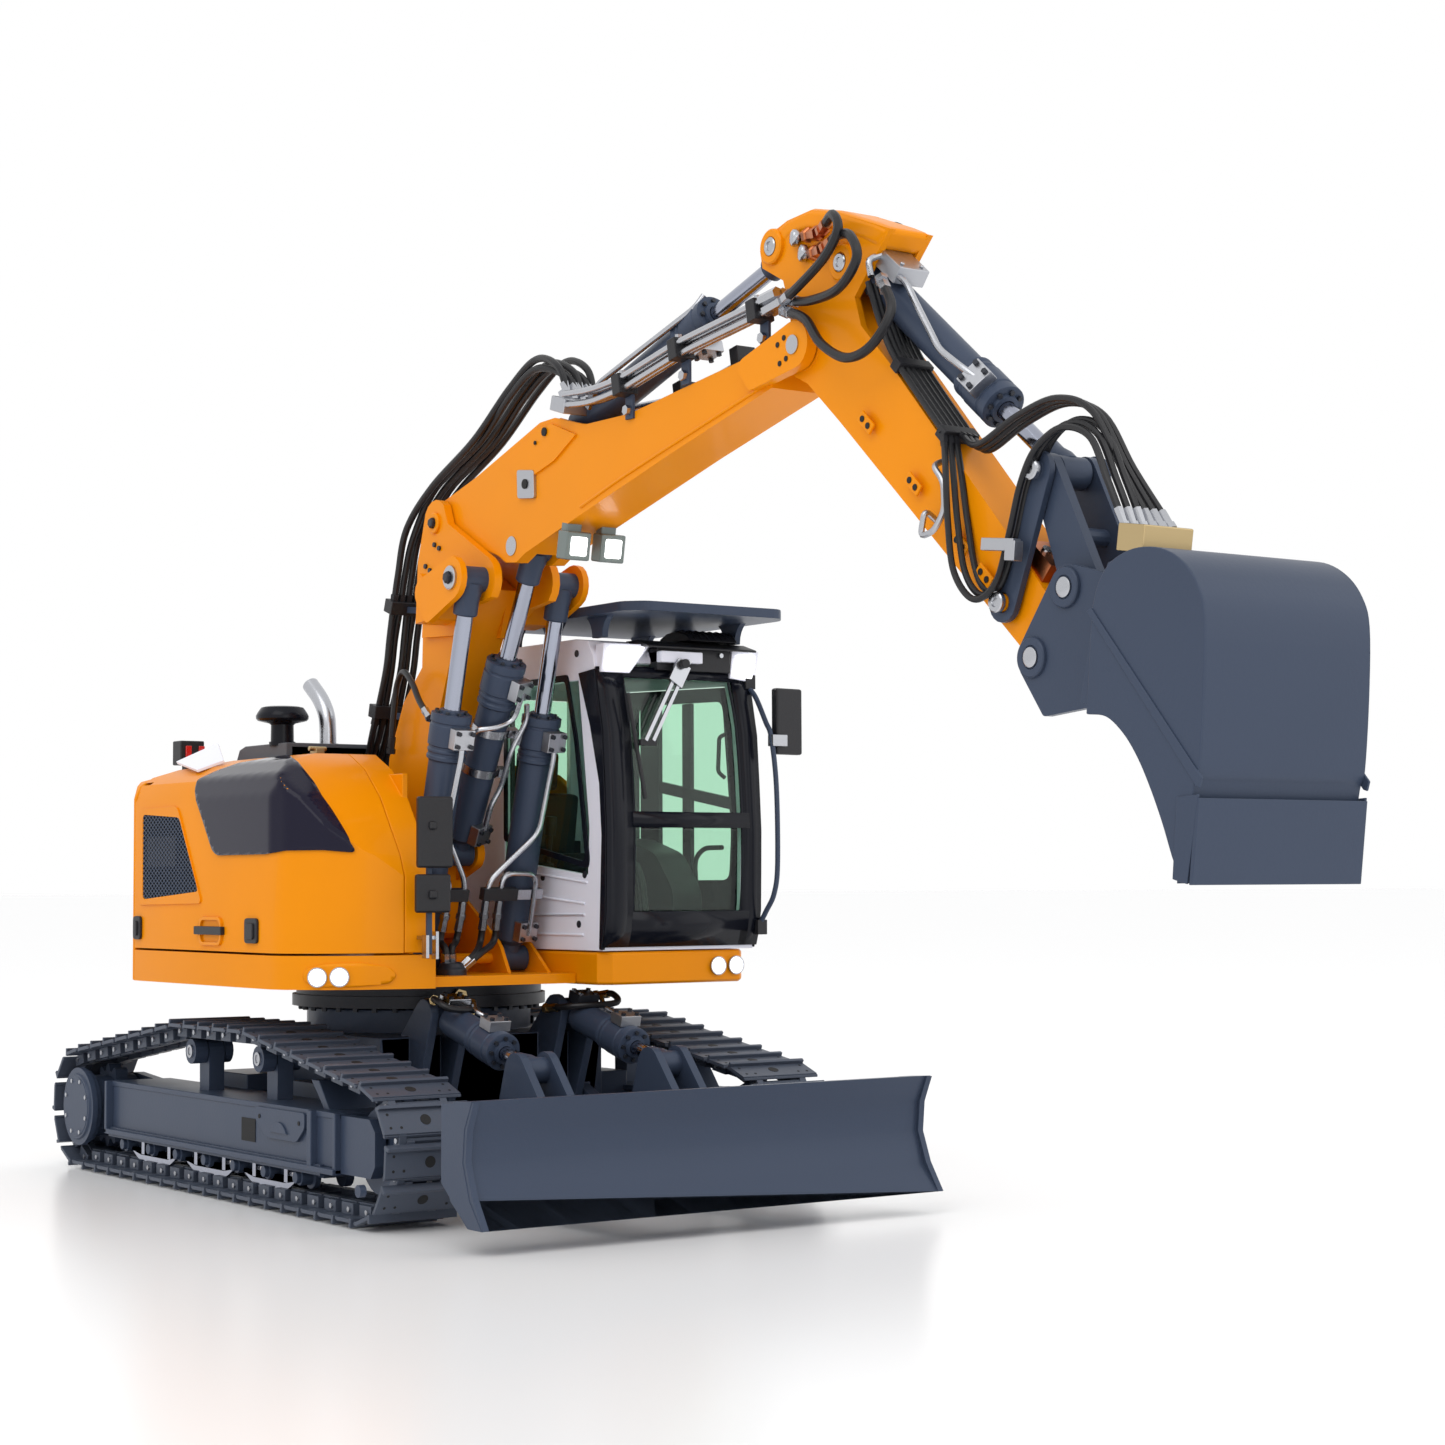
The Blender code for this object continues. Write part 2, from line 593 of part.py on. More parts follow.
def make_cab():
    base_plan = [(CAB_X[0], CAB_F[0]), (CAB_X[1], CAB_F[0]), (CAB_X[1], 90), (80, 97), (24, 98), (CAB_X[0], 94)]
    finish(flat(base_plan, TOP_VIEW, HOUSE_Z, SEAM_Z), "cab_base", "orange", 0.8)
    cab_side = [(CAB_F[0], CAB_Z[0]), (97.5, CAB_Z[0]), (100, 100), (100.5, 130), (98, 165), (92, 192),
                (88, 198), (80, CAB_Z[1]), (-14, CAB_Z[1]), (CAB_F[0], 190)]
    shell = side_plate(cab_side, *CAB_X)
    inside = side_plate([(CAB_F[0] + 3, 90), (94.5, 90), (97, 104), (97.5, 130), (95, 165), (88, 190),
                         (82, 195.5), (-12, 195.5), (CAB_F[0] + 3, 188)], CAB_X[0] + 2.5, CAB_X[1] - 2.5)
    front = block((27, 78.5), (80, 120), (95, 190))
    right = side_plate([(30, 120), (88, 114), (89, 132), (82, 184), (30, 184)], CAB_X[0] - 5, CAB_X[0] + 6)
    door = side_plate([(16, 92), (90, 92), (92, 130), (86, 184), (16, 186)], CAB_X[1] - 6, CAB_X[1] + 5)
    rear = block((28, 78), (-30, -10), (130, 184))
    motor = block((44, 62), (86, 99.9), (190.5, 194.6))
    finish(join(cut(shell, inside, front, right, door, rear), motor), "cab_shell", "cab_white")
    pane = side_plate([(97.6, 95.3), (99.2, 130), (96.6, 165), (91.6, 189.7), (93.2, 189.7), (98.1, 165),
                       (100.6, 130), (99.0, 95.3)], 27.3, 78.2)
    finish(pane, "windscreen", "glass")
    glass = side_plate([(30.3, 120.3), (87.7, 114.3), (88.7, 132), (81.7, 183.7), (30.3, 183.7)],
                       CAB_X[0] + 0.3, CAB_X[0] + 1.8)
    finish(glass, "right_window", "glass")
    finish(block((28.3, 77.7), (-19.6, -18.1), (130.3, 183.7)), "rear_window", "glass")
    leaf = side_plate([(16.4, 92.4), (89.6, 92.4), (91.6, 130), (85.7, 183.6), (16.4, 185.6)],
                      CAB_X[1] - 2.2, CAB_X[1] - 0.2)
    handle = block((CAB_X[1] - 1, CAB_X[1] + 2.2), (22, 36), (134, 137))
    finish(join(leaf, handle), "cab_door", "gloss_black")


def make_seat():
    base = block((38, 66), (10, 42), (90.3, 104))
    cushion = block((36, 68), (8, 46), (103, 113))
    back = side_plate([(8, 106), (16, 106), (8, 158), (0, 158)], 37, 67)
    head = block((44, 60), (-1, 6), (150, 172))
    arms = [block((x - 4, x + 4), (24, 56), (108, 118)) for x in (31.5, 72.5)]
    levers = [block((x - 1.2, x + 1.2), (50, 52.4), (116, 128)) for x in (31.5, 72.5)]
    ties = block((28, 76), (20, 30), (100, 110))
    return finish(join(base, cushion, back, head, ties, *arms, *levers), "operator_seat", "seat_black")


def make_roof_guard():
    slab = block((17.5, 86.0), (20, 118.5), (206.0, 209.5))
    bars = [block((x - 1.2, x + 1.2), (30, 108), (202, 206.5)) for x in (22, 41, 62, 82)]
    feet = [block((x - 1.2, x + 1.2), (f - 5, f + 5), (199.3, 203)) for x in (22, 41, 62, 82) for f in (38, 74)]
    return finish(join(slab, *bars, *feet), "roof_guard", "black_metal")


def make_mirrors():
    arm = pipe([(87, 96, 94), (87.8, 104, 98), (88, 107, 110), (88, 107.5, 150), (87.6, 104, 172), (87, 96, 184)],
               1.1, 1)
    head = block((86.4, 92.6), (103.5, 106.8), (154, 178))
    finish(join(arm, head), "mirror_left", "black_metal", 0.0)
    post = block((-45.5, -43.5), (86, 88.5), (88, 138))
    upper = block((-49.5, -39.5), (87.5, 91), (118, 141))
    lower = block((-50, -39), (87.5, 91), (98.5, 112))
    foot = block((-47.5, -42.5), (82.6, 87.5), (88, 91.5))
    finish(join(post, upper, lower, foot), "mirror_right", "black_metal", 0.0)
    hub = block((47.8, 51.8), (100.3, 103.4), (189.6, 194.0))
    arms = side_plate([(101, 191.5), (103.4, 191.5), (104.6, 165), (102.2, 165)], 48.6, 51.0)
    blade = side_plate([(102.4, 181), (103.8, 181), (105.8, 130), (104.4, 130)], 46.2, 49.0)
    finish(join(arms, blade, hub), "wiper", "black_metal")


def make_inside():
    finish(block((-74, -44), (-52, 4), (SEAM_Z + 0.3, 118)), "battery_pack", "battery_blue", 1.5)
    tank = block((-72, -46), (12, 50), (SEAM_Z + 0.3, 112))
    motor = across((31, 117), 9, -70, -48, 20)
    finish(join(tank, motor), "hydraulic_pump", "aluminium")


# ---------------------------------------------------------------- boom, stick and bucket

def centred(low, high):
    """X limits measured from the boom's middle plane."""
    return BOOM_X + low, BOOM_X + high


def both_sides(outline, inner, outer, holes=()):
    """A pair of equal plates either side of the boom's middle plane."""
    return [side_plate(outline, *centred(-outer, -inner), holes),
            side_plate(outline, *centred(inner, outer), holes)]


def make_base_boom():
    body = [(24, 91), (31, 93), (35, 104), (36, 128), (44, 160), (60, 196), (72, 216), (60, 223), (45, 228),
            (38, 214), (37, 190), (23, 178), (12, 158), (8, 130), (13, 106), (17, 93.5)]
    box = side_plate(body, *centred(-9.8, 9.8))
    fork = [(38.5, 207), (67, 202.5), (78, 209), (83, 209.5), *arc(LIFT_TOP, 8.5, -50, 60, 5), (62, 240),
            *arc(KNEE, 8.5, 45, 150, 5), (40, 228)]
    parts = both_sides(fork, 10.3, 13.3)
    parts += both_sides([(41, 200.5), (65, 199.5), (69, 211.5), (57, 222.5), (43, 224.5)], 6.8, 12.1)
    parts += both_sides([(59, 203.5), (70.4, 204.5), (74, 212.6), (62.3, 221.3)], 11.9, 24.7)
    parts += both_sides(hull([(*LIFT_TOP, 7.5), (66, 214, 5), (70, 206, 3)], 4), 23.7, 26.0)
    parts += both_sides(hull([(*ADJUST_BASE, 5.5), (33, 138, 3), (31, 114, 3)], 4), 5.4, 8.4)
    parts.append(across(LIFT_TOP, 2.0, *centred(-25.2, -10.8), 12))
    parts.append(across(LIFT_TOP, 2.0, *centred(10.8, 25.2), 12))
    parts.append(across(KNEE, 3.0, *centred(-12.8, 12.8), 14))
    parts.append(across(ADJUST_BASE, 2.0, *centred(-7.9, 7.9), 12))
    boss = across(FOOT, 9.3, *centred(-10.2, 10.2))
    bore = across(FOOT, 3.3, *centred(-20, 20), 14)
    made = cut(join(box, boss, *parts), bore)
    return finish(made, "boom_base", "orange")


def make_main_boom():
    body = [*arc(KNEE, 8.0, 100, 255, 6), (66, 236), (80, 229.5), (92, 225.5), (97, 222.6), (104, 222.0),
            (110, 224.6), (144.4, 233.5), (200, 247.3), (254.5, 260.0), (254.5, 272.6), (208, 267.2),
            (176, 263.5), (148.7, 263.8), (129.6, 268.8), (120, 268.5), (76, 255)]
    box = side_plate(body, *centred(-9.8, 9.8))
    head = hull([(*STICK_PIN, 7.2), (244, 267.6, 3.0), (247.5, 263.2, 3.0)], 5)
    parts = both_sides(head, 9.0, 12.6)
    doubler = [(100, 256.5), (119, 266.6), (128.5, 266.8), (144, 261), (130, 254), (108, 248.5)]
    parts += both_sides(doubler, 9.0, 10.6)
    parts.append(across(STICK_PIN, 3.0, *centred(-12.4, 12.4), 14))
    well = side_plate([*arc(STICK_CYL_BASE, 8.8, 130, 320, 8), (160, 262), (160, 290), (118, 290)],
                      *centred(-7.4, 7.4))
    belly = side_plate([*arc(ADJUST_TOP, 9.6, -20, 150, 8), (86, 205), (112, 205)], *centred(-5.0, 5.0))
    knee_bore = across(KNEE, 3.3, *centred(-20, 20), 14)
    pins = [across(STICK_CYL_BASE, 2.0, *centred(-8.4, 8.4), 12),
            across(ADJUST_TOP, 2.0, *centred(-8.4, 8.4), 12)]
    made = cut(join(box, *parts), well, belly, knee_bore)
    return finish(join(made, *pins), "boom_main", "orange")


def make_stick():
    body = [(262, 263), (270, 259), (285.7, 245.3), (357, 180), (368, 170), *arc(BUCKET_PIN, 6.0, 235, 400, 6),
            (378, 183), (357.9, 206), (310, 258), (296, 272), (293, 281), (309.8, 297.8), (285, 307.5),
            (272, 310.8), (260, 310), (250.5, 307.5), (246.3, 303.5), (247.5, 298), (258, 292.3),
            (261, 284), (262, 277)]
    box = side_plate(body, *centred(-8.0, 8.0))
    boss = across(STICK_PIN, 7.4, *centred(-8.4, 8.4))
    bore = across(STICK_PIN, 3.3, *centred(-20, 20), 14)
    tip = across(BUCKET_PIN, 3.3, *centred(-20, 20), 14)
    pivot = across(ROCKER_PIN, 2.4, *centred(-11.3, 11.3), 14)
    rod_room = side_plate([*arc(STICK_CYL_TOP, 11.0, -150, 60, 8), (230, 325), (230, 290)], *centred(-5.0, 5.0))
    barrel_room = side_plate([*arc(BUCKET_CYL_BASE, 8.2, 100, 230, 6), (290, 276), (300, 267), (332, 280),
                              (322, 312)], *centred(-5.9, 5.9))
    pins = [across(STICK_CYL_TOP, 2.0, *centred(-7.6, 7.6), 12),
            across(BUCKET_CYL_BASE, 2.0, *centred(-7.6, 7.6), 12)]
    made = cut(join(box, boss), bore, tip, rod_room, barrel_room)
    return finish(join(made, pivot, *pins), "stick", "orange")


BUCKET_BACK = [(414.5, 178.9), (419.5, 189.5), (429, 191.8), (438, 190.9), (447, 185.2), (452, 177.3),
               (449.7, 136.3), (447.4, 131.2), (444.8, 111.2)]
BUCKET_MOUTH = [(441.9, 115.4), (433.9, 132.6), (426.5, 146.9), (415.6, 153.5), (409, 155.5)]
SCOOP = [(411.5, 153), (416.7, 178.2), (421.1, 187.3), (429.3, 189.4), (437.2, 188.6), (445, 183.6),
         (449.5, 176.5), (447.4, 137), (445.2, 131.8), (443.2, 114), (440, 100), (425, 118), (405, 140)]


def make_bucket():
    solid = side_plate(BUCKET_BACK + BUCKET_MOUTH, *centred(-28.2, 28.2))
    hollow = side_plate(SCOOP, *centred(-26.2, 26.2))
    ear = hull([(380, 155.5, 1.5), (411, 158, 1.4), (417, 184, 1.4), (*LINK_PIN, 6.2), (*BUCKET_PIN, 6.2)], 4)
    parts = both_sides(ear, 11.4, 14.0)
    parts.append(across(BUCKET_PIN, 2.9, *centred(-13.6, 13.6), 14))
    parts.append(across(LINK_PIN, 2.0, *centred(-13.2, 13.2), 12))
    edge = side_plate([(447.8, 132), (445.8, 110.4), (442.2, 110.4), (444, 124), (445.4, 132)],
                      *centred(-28.6, 28.6))
    return finish(join(cut(solid, hollow), edge, *parts), "bucket", "steel_blue")


def make_rocker_and_link():
    arm = hull([(*ROCKER_PIN, 5.4), (*ROCKER_TOP, 5.2)], 5)
    holes = ((*ROCKER_PIN, 2.7),)
    arms = both_sides(arm, 8.9, 11.0, holes)
    tube = across(ROCKER_TOP, 2.4, *centred(-12.6, 12.6), 14)
    sleeve = join(arms[0], arms[1], tube)
    finish(sleeve, "rocker_arm", "steel_blue")
    link = hull([(*ROCKER_TOP, 4.8), (*LINK_PIN, 7.0)], 5)
    links = both_sides(link, 5.6, 8.6, ((*ROCKER_TOP, 2.7), (*LINK_PIN, 4.8)))
    middle = [(ROCKER_TOP[0] * 0.45 + LINK_PIN[0] * 0.55, ROCKER_TOP[1] * 0.45 + LINK_PIN[1] * 0.55)]
    finish(join(links[0], links[1], across(middle[0], 2.4, *centred(-7, 7), 12)), "tipping_link", "steel_blue")


def make_pipes():
    """Rigid pipes over the main boom, joined by their clamps, and the hoses behind the base boom."""
    runs = []
    for x, lift in ((-22.2, 0.0), (-22.4, 2.3), (-20.2, 3.0)):
        runs.append(pipe([(x, 139, 272.6 + lift), (x, 146, 274.6 + lift), (x, 244, 287.0 + lift)], 1.0, 1))
    clamps = [side_plate([(f - 2, z - 1.8), (f + 2, z - 1.8), (f + 2, z + 4.8), (f - 2, z + 4.8)], -23.8, -18.8)
              for f, z in ((160, 276.3), (195, 280.8), (232, 285.5))]
    posts = [side_plate([(f - 1.2, low - 6), (f + 1.2, low - 6), (f + 1.2, z), (f - 1.2, z)], -21.4, -19.6)
             for f, low, z in ((160, 263.0, 276.3), (195, 265.0, 280.8), (232, 270.0, 285.5))]
    finish(join(clamps[0], clamps[1], clamps[2], *runs, *posts), "boom_pipes", "aluminium")
    route = [(14, 124), (8, 150), (9, 170), (17, 184), (29, 193.5), (33.5, 206), (34, 222)]
    hoses = [pipe([(BOOM_X + x, f - 6.5, z) for f, z in route], 1.5, 1) for x in (-3.2, -0.9, 1.4, 3.7)]
    strap = block((BOOM_X - 5.4, BOOM_X + 5.6), (-2.5, 2.5), (164, 167.5))
    finish(join(strap, *hoses), "boom_hoses", "rubber")


def make_undercarriage():
    make_car_body()
    ring = turned([(0, 42.5), (0, 45.6), (8.0, 45.6), (8.0, 30.0)], at(0, 0, 66.0), at(0, 0, 200), 40)
    finish(ring, "slewing_ring", "black_metal")
    for side, tag in ((-1, "right"), (1, "left")):
        make_track_frame(side, "track_frame_" + tag)
        make_chain(side, "track_chain_" + tag)
        make_wheels(side, tag)
        make_roller_bank(side, "roller_bank_" + tag)
        make_cylinder("blade_cylinder_" + tag, side * BLADE_CYL_X, BLADE_CYL_BASE, BLADE_PIN,
                      5.6, 6.5, 43, 2.4, 7.2, 1.2, 6.6, (8.3, 10.4))
    make_blade()


def make_upper():
    make_upper_frame()
    make_counterweight()
    make_hoods()
    make_engine_deck()
    make_stacks()
    make_cab()
    make_seat()
    make_roof_guard()
    make_mirrors()
    make_inside()


def make_boom_group():
    make_base_boom()
    make_main_boom()
    make_stick()
    make_bucket()
    make_rocker_and_link()
    make_pipes()
    for side, tag in ((-1, "right"), (1, "left")):
        make_cylinder("lift_cylinder_" + tag, BOOM_X + side * LIFT_X, LIFT_BASE, LIFT_TOP,
                      6.0, 7.2, 90, 3.0, 7.6, 2.2, 7.6, (24.0, 1.1))
    make_cylinder("adjust_cylinder", BOOM_X, ADJUST_BASE, ADJUST_TOP,
                  6.0, 7.2, 76, 3.0, 8.4, 2.6, 7.6, (17.2, 6.9))
    make_cylinder("stick_cylinder", BOOM_X, STICK_CYL_BASE, STICK_CYL_TOP,
                  5.8, 6.9, 90, 2.8, 8.4, 3.3, 9.5, (5.0, 35.8))
    make_cylinder("bucket_cylinder", BOOM_X, BUCKET_CYL_BASE, ROCKER_TOP,
                  5.4, 6.6, 79.3, 2.7, 8.4, 3.2, 9.2, (4.0, 30.8))


make_undercarriage()
make_upper()
make_boom_group()
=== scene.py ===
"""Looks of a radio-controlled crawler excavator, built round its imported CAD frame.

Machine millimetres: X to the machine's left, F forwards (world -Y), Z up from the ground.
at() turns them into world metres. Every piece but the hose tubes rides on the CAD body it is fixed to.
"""
import math

import bmesh
import bpy
from mathutils import Matrix, Vector
from mathutils.bvhtree import BVHTree


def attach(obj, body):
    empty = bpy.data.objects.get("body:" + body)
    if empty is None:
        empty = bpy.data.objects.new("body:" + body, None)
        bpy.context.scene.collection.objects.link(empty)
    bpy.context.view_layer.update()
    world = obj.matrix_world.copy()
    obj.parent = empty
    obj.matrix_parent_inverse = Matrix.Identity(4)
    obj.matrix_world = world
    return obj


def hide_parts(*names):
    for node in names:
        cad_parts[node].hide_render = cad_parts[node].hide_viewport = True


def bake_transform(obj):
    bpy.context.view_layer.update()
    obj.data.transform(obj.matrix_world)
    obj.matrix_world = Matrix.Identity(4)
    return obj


MM = 0.001
ORIGIN_F = 155.0              # the frame's origin lies this far in front of the slewing axis
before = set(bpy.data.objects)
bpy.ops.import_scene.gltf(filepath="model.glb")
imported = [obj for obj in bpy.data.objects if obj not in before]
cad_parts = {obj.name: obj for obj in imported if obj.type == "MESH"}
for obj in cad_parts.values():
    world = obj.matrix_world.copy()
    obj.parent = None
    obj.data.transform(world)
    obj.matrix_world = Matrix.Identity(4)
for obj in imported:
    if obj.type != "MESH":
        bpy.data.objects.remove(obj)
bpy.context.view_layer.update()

# camera: where it stands, which way it looks, and its lens
CAMERA_PLACE = Vector((-0.4990, -0.7553, 0.1113))
CAMERA_YAW = math.radians(-35.10)
CAMERA_PITCH = math.radians(3.356)
CAMERA_ROLL = math.radians(-0.267)
CAMERA_LENS = 67.7

# pins and planes of the frame, in machine millimetres as (F, Z) or X
BOOM_X = -9.5
BOOM_HALF = 9.8               # half the main boom's width
KNEE = (53.0, 241.0)
STICK_PIN = (268.9, 270.5)
BUCKET_PIN = (375.5, 169.7)
LINK_PIN = (388.7, 187.0)
ROCKER_PIN = (360.0, 185.7)
ROCKER_TOP = (374.5, 219.8)
HOSE_ROWS = [BOOM_X - 8.2 + 2.9 * i for i in range(5)]     # the hoses up the base boom
ROD_HIDDEN = 42.0             # of a rod, what stays in its barrel at rest: more than the stroke
LIFT_X = 18.5                 # lift cylinders, either side of the boom's middle
LIFT_BASE = (51.0, 84.0)
LIFT_TOP = (87.0, 217.3)
ADJUST_BASE = (46.0, 122.0)
ADJUST_TOP = (101.0, 228.0)
STICK_CYL_BASE = (124.7, 264.3)
STICK_CYL_TOP = (253.2, 303.5)
BUCKET_CYL_BASE = (287.9, 292.0)
BLADE_CYL_X = 26.6
BLADE_CYL_BASE = (66.0, 65.0)
BLADE_PIN = (127.0, 48.7)
TRACK_X = 72.8
WHEEL_F = 118.0               # idler in front, sprocket behind
WHEEL_Z = 24.2
LINK_INNER = 16.9             # radius of the chain's inner face round the wheels
CARRIERS = (-25.0, 32.0)
CARRIER_Z = 50.0
CARRIER_REACH = 4.9           # radius of the chain's inner face over the carrier rollers
SHOES = 48
SOLE_LEVEL = 3.6              # the shoes' middle, outside the chain's inner face
HOOD_SIDE = -86.5             # the right hood's outer face
MESH_SLOPE = 0.62             # grille wires: rise over run, and distance apart
MESH_PITCH = 1.9
FLOOR_RADIUS = 30.0           # metres
FLOOR_LEVEL = -0.0002
SIDES = ((-1, "right"), (1, "left"))
BOX_FACES = ((0, 1, 3, 2), (4, 6, 7, 5), (0, 4, 5, 1), (2, 3, 7, 6), (0, 2, 6, 4), (1, 5, 7, 3))


def at(x, f, z):
    return Vector((x * MM, (ORIGIN_F - f) * MM, z * MM))


def span(side, a, b):
    return tuple(sorted((side * a, side * b)))


# ------------------------------------------------------------------ materials

def feed(tree, node, values):
    """Set a node's inputs; a value that is another node's output is linked instead."""
    for name, value in values.items():
        if isinstance(value, bpy.types.NodeSocket):
            tree.links.new(value, node.inputs[name])
        else:
            node.inputs[name].default_value = value


def add_node(tree, kind, values, **setup):
    made = tree.nodes.new("ShaderNode" + kind)
    for name, value in setup.items():
        setattr(made, name, value)
    feed(tree, made, values)
    return made


def new_material(name, colour, rough, metal=0.0, coat=0.0, grain=0.0, grain_scale=900.0,
                 vary=0.0, glow=None, gleam=0.5):
    """A Principled material whose roughness, tone and fine bump come from noise."""
    made = bpy.data.materials.new(name)
    made.use_nodes = True
    tree = made.node_tree
    shader = tree.nodes["Principled BSDF"]
    feed(tree, shader, {"Base Color": (*colour, 1.0), "Roughness": rough, "Metallic": metal,
                        "Coat Weight": coat, "Coat Roughness": 0.06, "Specular IOR Level": gleam})
    if glow:
        feed(tree, shader, {"Emission Color": (*glow[0], 1.0), "Emission Strength": glow[1]})
    place = tree.nodes.new("ShaderNodeTexCoord").outputs["Object"]
    if vary:
        cloud = add_node(tree, "TexNoise", {"Scale": 22.0, "Detail": 5.0, "Vector": place}).outputs["Fac"]
        spread = add_node(tree, "MapRange", {"To Min": max(0.02, rough - vary),
                                             "To Max": min(1.0, rough + vary), "Value": cloud})
        tone = add_node(tree, "Mix", {"A": (*[c * 0.93 for c in colour], 1.0),
                                      "B": (*[min(1.0, c * 1.05) for c in colour], 1.0),
                                      "Factor": cloud}, data_type="RGBA")
        feed(tree, shader, {"Roughness": spread.outputs["Result"], "Base Color": tone.outputs["Result"]})
    if grain:
        fine = add_node(tree, "TexNoise", {"Scale": grain_scale, "Detail": 3.0, "Vector": place})
        bump = add_node(tree, "Bump", {"Strength": grain, "Distance": 0.0002,
                "Height": fine.outputs["Fac"]})
        feed(tree, shader, {"Normal": bump.outputs["Normal"]})
    return made


def glass_material(name, tint, gloss):
    """A thin tinted pane: what is behind shows straight through, with a sheen on top."""
    made = bpy.data.materials.new(name)
    made.use_nodes = True
    tree = made.node_tree
    tree.nodes.remove(tree.nodes["Principled BSDF"])
    clear = add_node(tree, "BsdfTransparent", {"Color": (*tint, 1.0)})
    shine = add_node(tree, "BsdfGlossy", {"Color": (1.0, 1.0, 1.0, 1.0), "Roughness": 0.02})
    edge = add_node(tree, "LayerWeight", {"Blend": 0.5})
    steep = add_node(tree, "Math", {0: edge.outputs["Facing"], 1: 4.0}, operation="POWER")
    amount = add_node(tree, "Math", {0: steep.outputs["Value"], 1: gloss, 2: 0.025},
            operation="MULTIPLY_ADD")
    mix = add_node(tree, "MixShader", {"Fac": amount.outputs["Value"], 1: clear.outputs["BSDF"],
                                       2: shine.outputs["BSDF"]})
    feed(tree, tree.nodes["Material Output"], {"Surface": mix.outputs["Shader"]})
    return made


PAINT = {
    "orange": new_material("orange_paint", (0.81, 0.262, 0.0003), 0.36, coat=0.08, grain=0.06,
            vary=0.05, gleam=0.10),
    "steel": new_material("blue_grey_paint", (0.042, 0.058, 0.096), 0.42, 0.1, 0.05, grain=0.18,
            vary=0.07, gleam=0.22),
    "track": new_material("track_steel", (0.066, 0.080, 0.112), 0.46, 0.25, grain=0.35,
            grain_scale=500, vary=0.10,
                          gleam=0.35),
    "dark": new_material("dark_metal", (0.020, 0.023, 0.032), 0.42, 0.3, grain=0.2, vary=0.06),
    "black": new_material("gloss_black", (0.006, 0.007, 0.012), 0.24, coat=0.05, grain=0.03, vary=0.04,
            gleam=0.15),
    "smoke": new_material("smoked_window", (0.009, 0.008, 0.022), 0.12, coat=0.06, grain=0.01,
            vary=0.02, gleam=0.16),
    "white": new_material("cab_white", (0.84, 0.85, 0.95), 0.36, coat=0.1, grain=0.05, vary=0.05,
            gleam=0.3),
    "chrome": new_material("chrome_rod", (0.34, 0.36, 0.43), 0.16, 1.0, grain=0.03, grain_scale=1600,
            vary=0.03),
    "silver": new_material("machined_silver", (0.47, 0.48, 0.51), 0.26, 1.0, grain=0.12,
            grain_scale=1500, vary=0.07),
    "alloy": new_material("alloy", (0.46, 0.47, 0.50), 0.38, 1.0, grain=0.22, grain_scale=1300, vary=0.08),
    "deck": new_material("deck_grey", (0.085, 0.090, 0.105), 0.50, 0.1, grain=0.3, vary=0.06),
    "rubber": new_material("hose_rubber", (0.008, 0.008, 0.010), 0.42, grain=0.3, grain_scale=1500,
            vary=0.06, gleam=0.4),
    "plastic": new_material("black_plastic", (0.012, 0.012, 0.015), 0.48, grain=0.35, grain_scale=1400,
            vary=0.06,
                            gleam=0.4),
    "seat": new_material("seat_cloth", (0.016, 0.016, 0.020), 0.80, grain=0.8, grain_scale=1700, vary=0.05),
    "brass": new_material("brass", (0.50, 0.38, 0.20), 0.28, 1.0, grain=0.08, vary=0.06),
    "copper": new_material("copper", (0.50, 0.17, 0.07), 0.28, 1.0, grain=0.08, vary=0.07),
    # near-black for holes, slots, recesses and bores: painted shade for how dark they are inside
    "painted_shade": new_material("painted_shade_dark", (0.003, 0.003, 0.004), 0.7, grain=0.1, vary=0.05),
    "lamp": new_material("lamp_lit", (1.0, 1.0, 1.0), 0.2, grain=0.02, glow=((1.0, 1.0, 1.0), 4.0)),
    "bezel": new_material("lamp_bezel", (0.16, 0.19, 0.18), 0.25, 0.3, grain=0.05, vary=0.04),
    "red": new_material("red_lens", (0.45, 0.01, 0.01), 0.2, coat=0.8, grain=0.05, glow=((1.0, 0.03,
            0.02), 0.1)),
    "blue": new_material("battery_wrap", (0.03, 0.08, 0.30), 0.38, coat=0.3, grain=0.1, vary=0.05),
    "glass": glass_material("green_glass", (0.80, 0.93, 0.85), 0.35),
}


# ------------------------------------------------------------------ shapes

def bend(start, corner, stop, t):
    """A point of the round stretch that cuts a corner, t from 0 to 1."""
    return start * (1 - t) ** 2 + corner * 2 * t * (1 - t) + stop * t * t


def rounded(points, radius=3.0, steps=4):
    """A path with each inner corner rounded by radius."""
    points = [Vector(p) for p in points]
    path = [points[0]]
    for before, corner, after in zip(points, points[1:], points[2:]):
        a, b = before - corner, after - corner
        if a.length < 1e-6 or b.length < 1e-6:
            continue
        reach = min(radius, a.length * 0.48, b.length * 0.48)
        start, stop = corner + a.normalized() * reach, corner + b.normalized() * reach
        path += [bend(start, corner, stop, i / steps) for i in range(steps + 1)]
    path.append(points[-1])
    return path


def curve_through(points, steps=8):
    """A smooth path through given points."""
    points = [Vector(p) for p in points]
    ends = [points[0] * 2 - points[1]] + points + [points[-1] * 2 - points[-2]]
    path = []
    for p0, p1, p2, p3 in zip(ends, ends[1:], ends[2:], ends[3:]):
        for i in range(steps):
            t = i / steps
            path.append(0.5 * ((2 * p1) + (p2 - p0) * t + (2 * p0 - 5 * p1 + 4 * p2 - p3) * t * t
                               + (3 * p1 - p0 - 3 * p2 + p3) * t ** 3))
    path.append(points[-1])
    return path


def arc(centre, radius, start, stop, steps):
    turn = [math.radians(start + (stop - start) * i / steps) for i in range(steps + 1)]
    return [(centre[0] + radius * math.cos(a), centre[1] + radius * math.sin(a)) for a in turn]


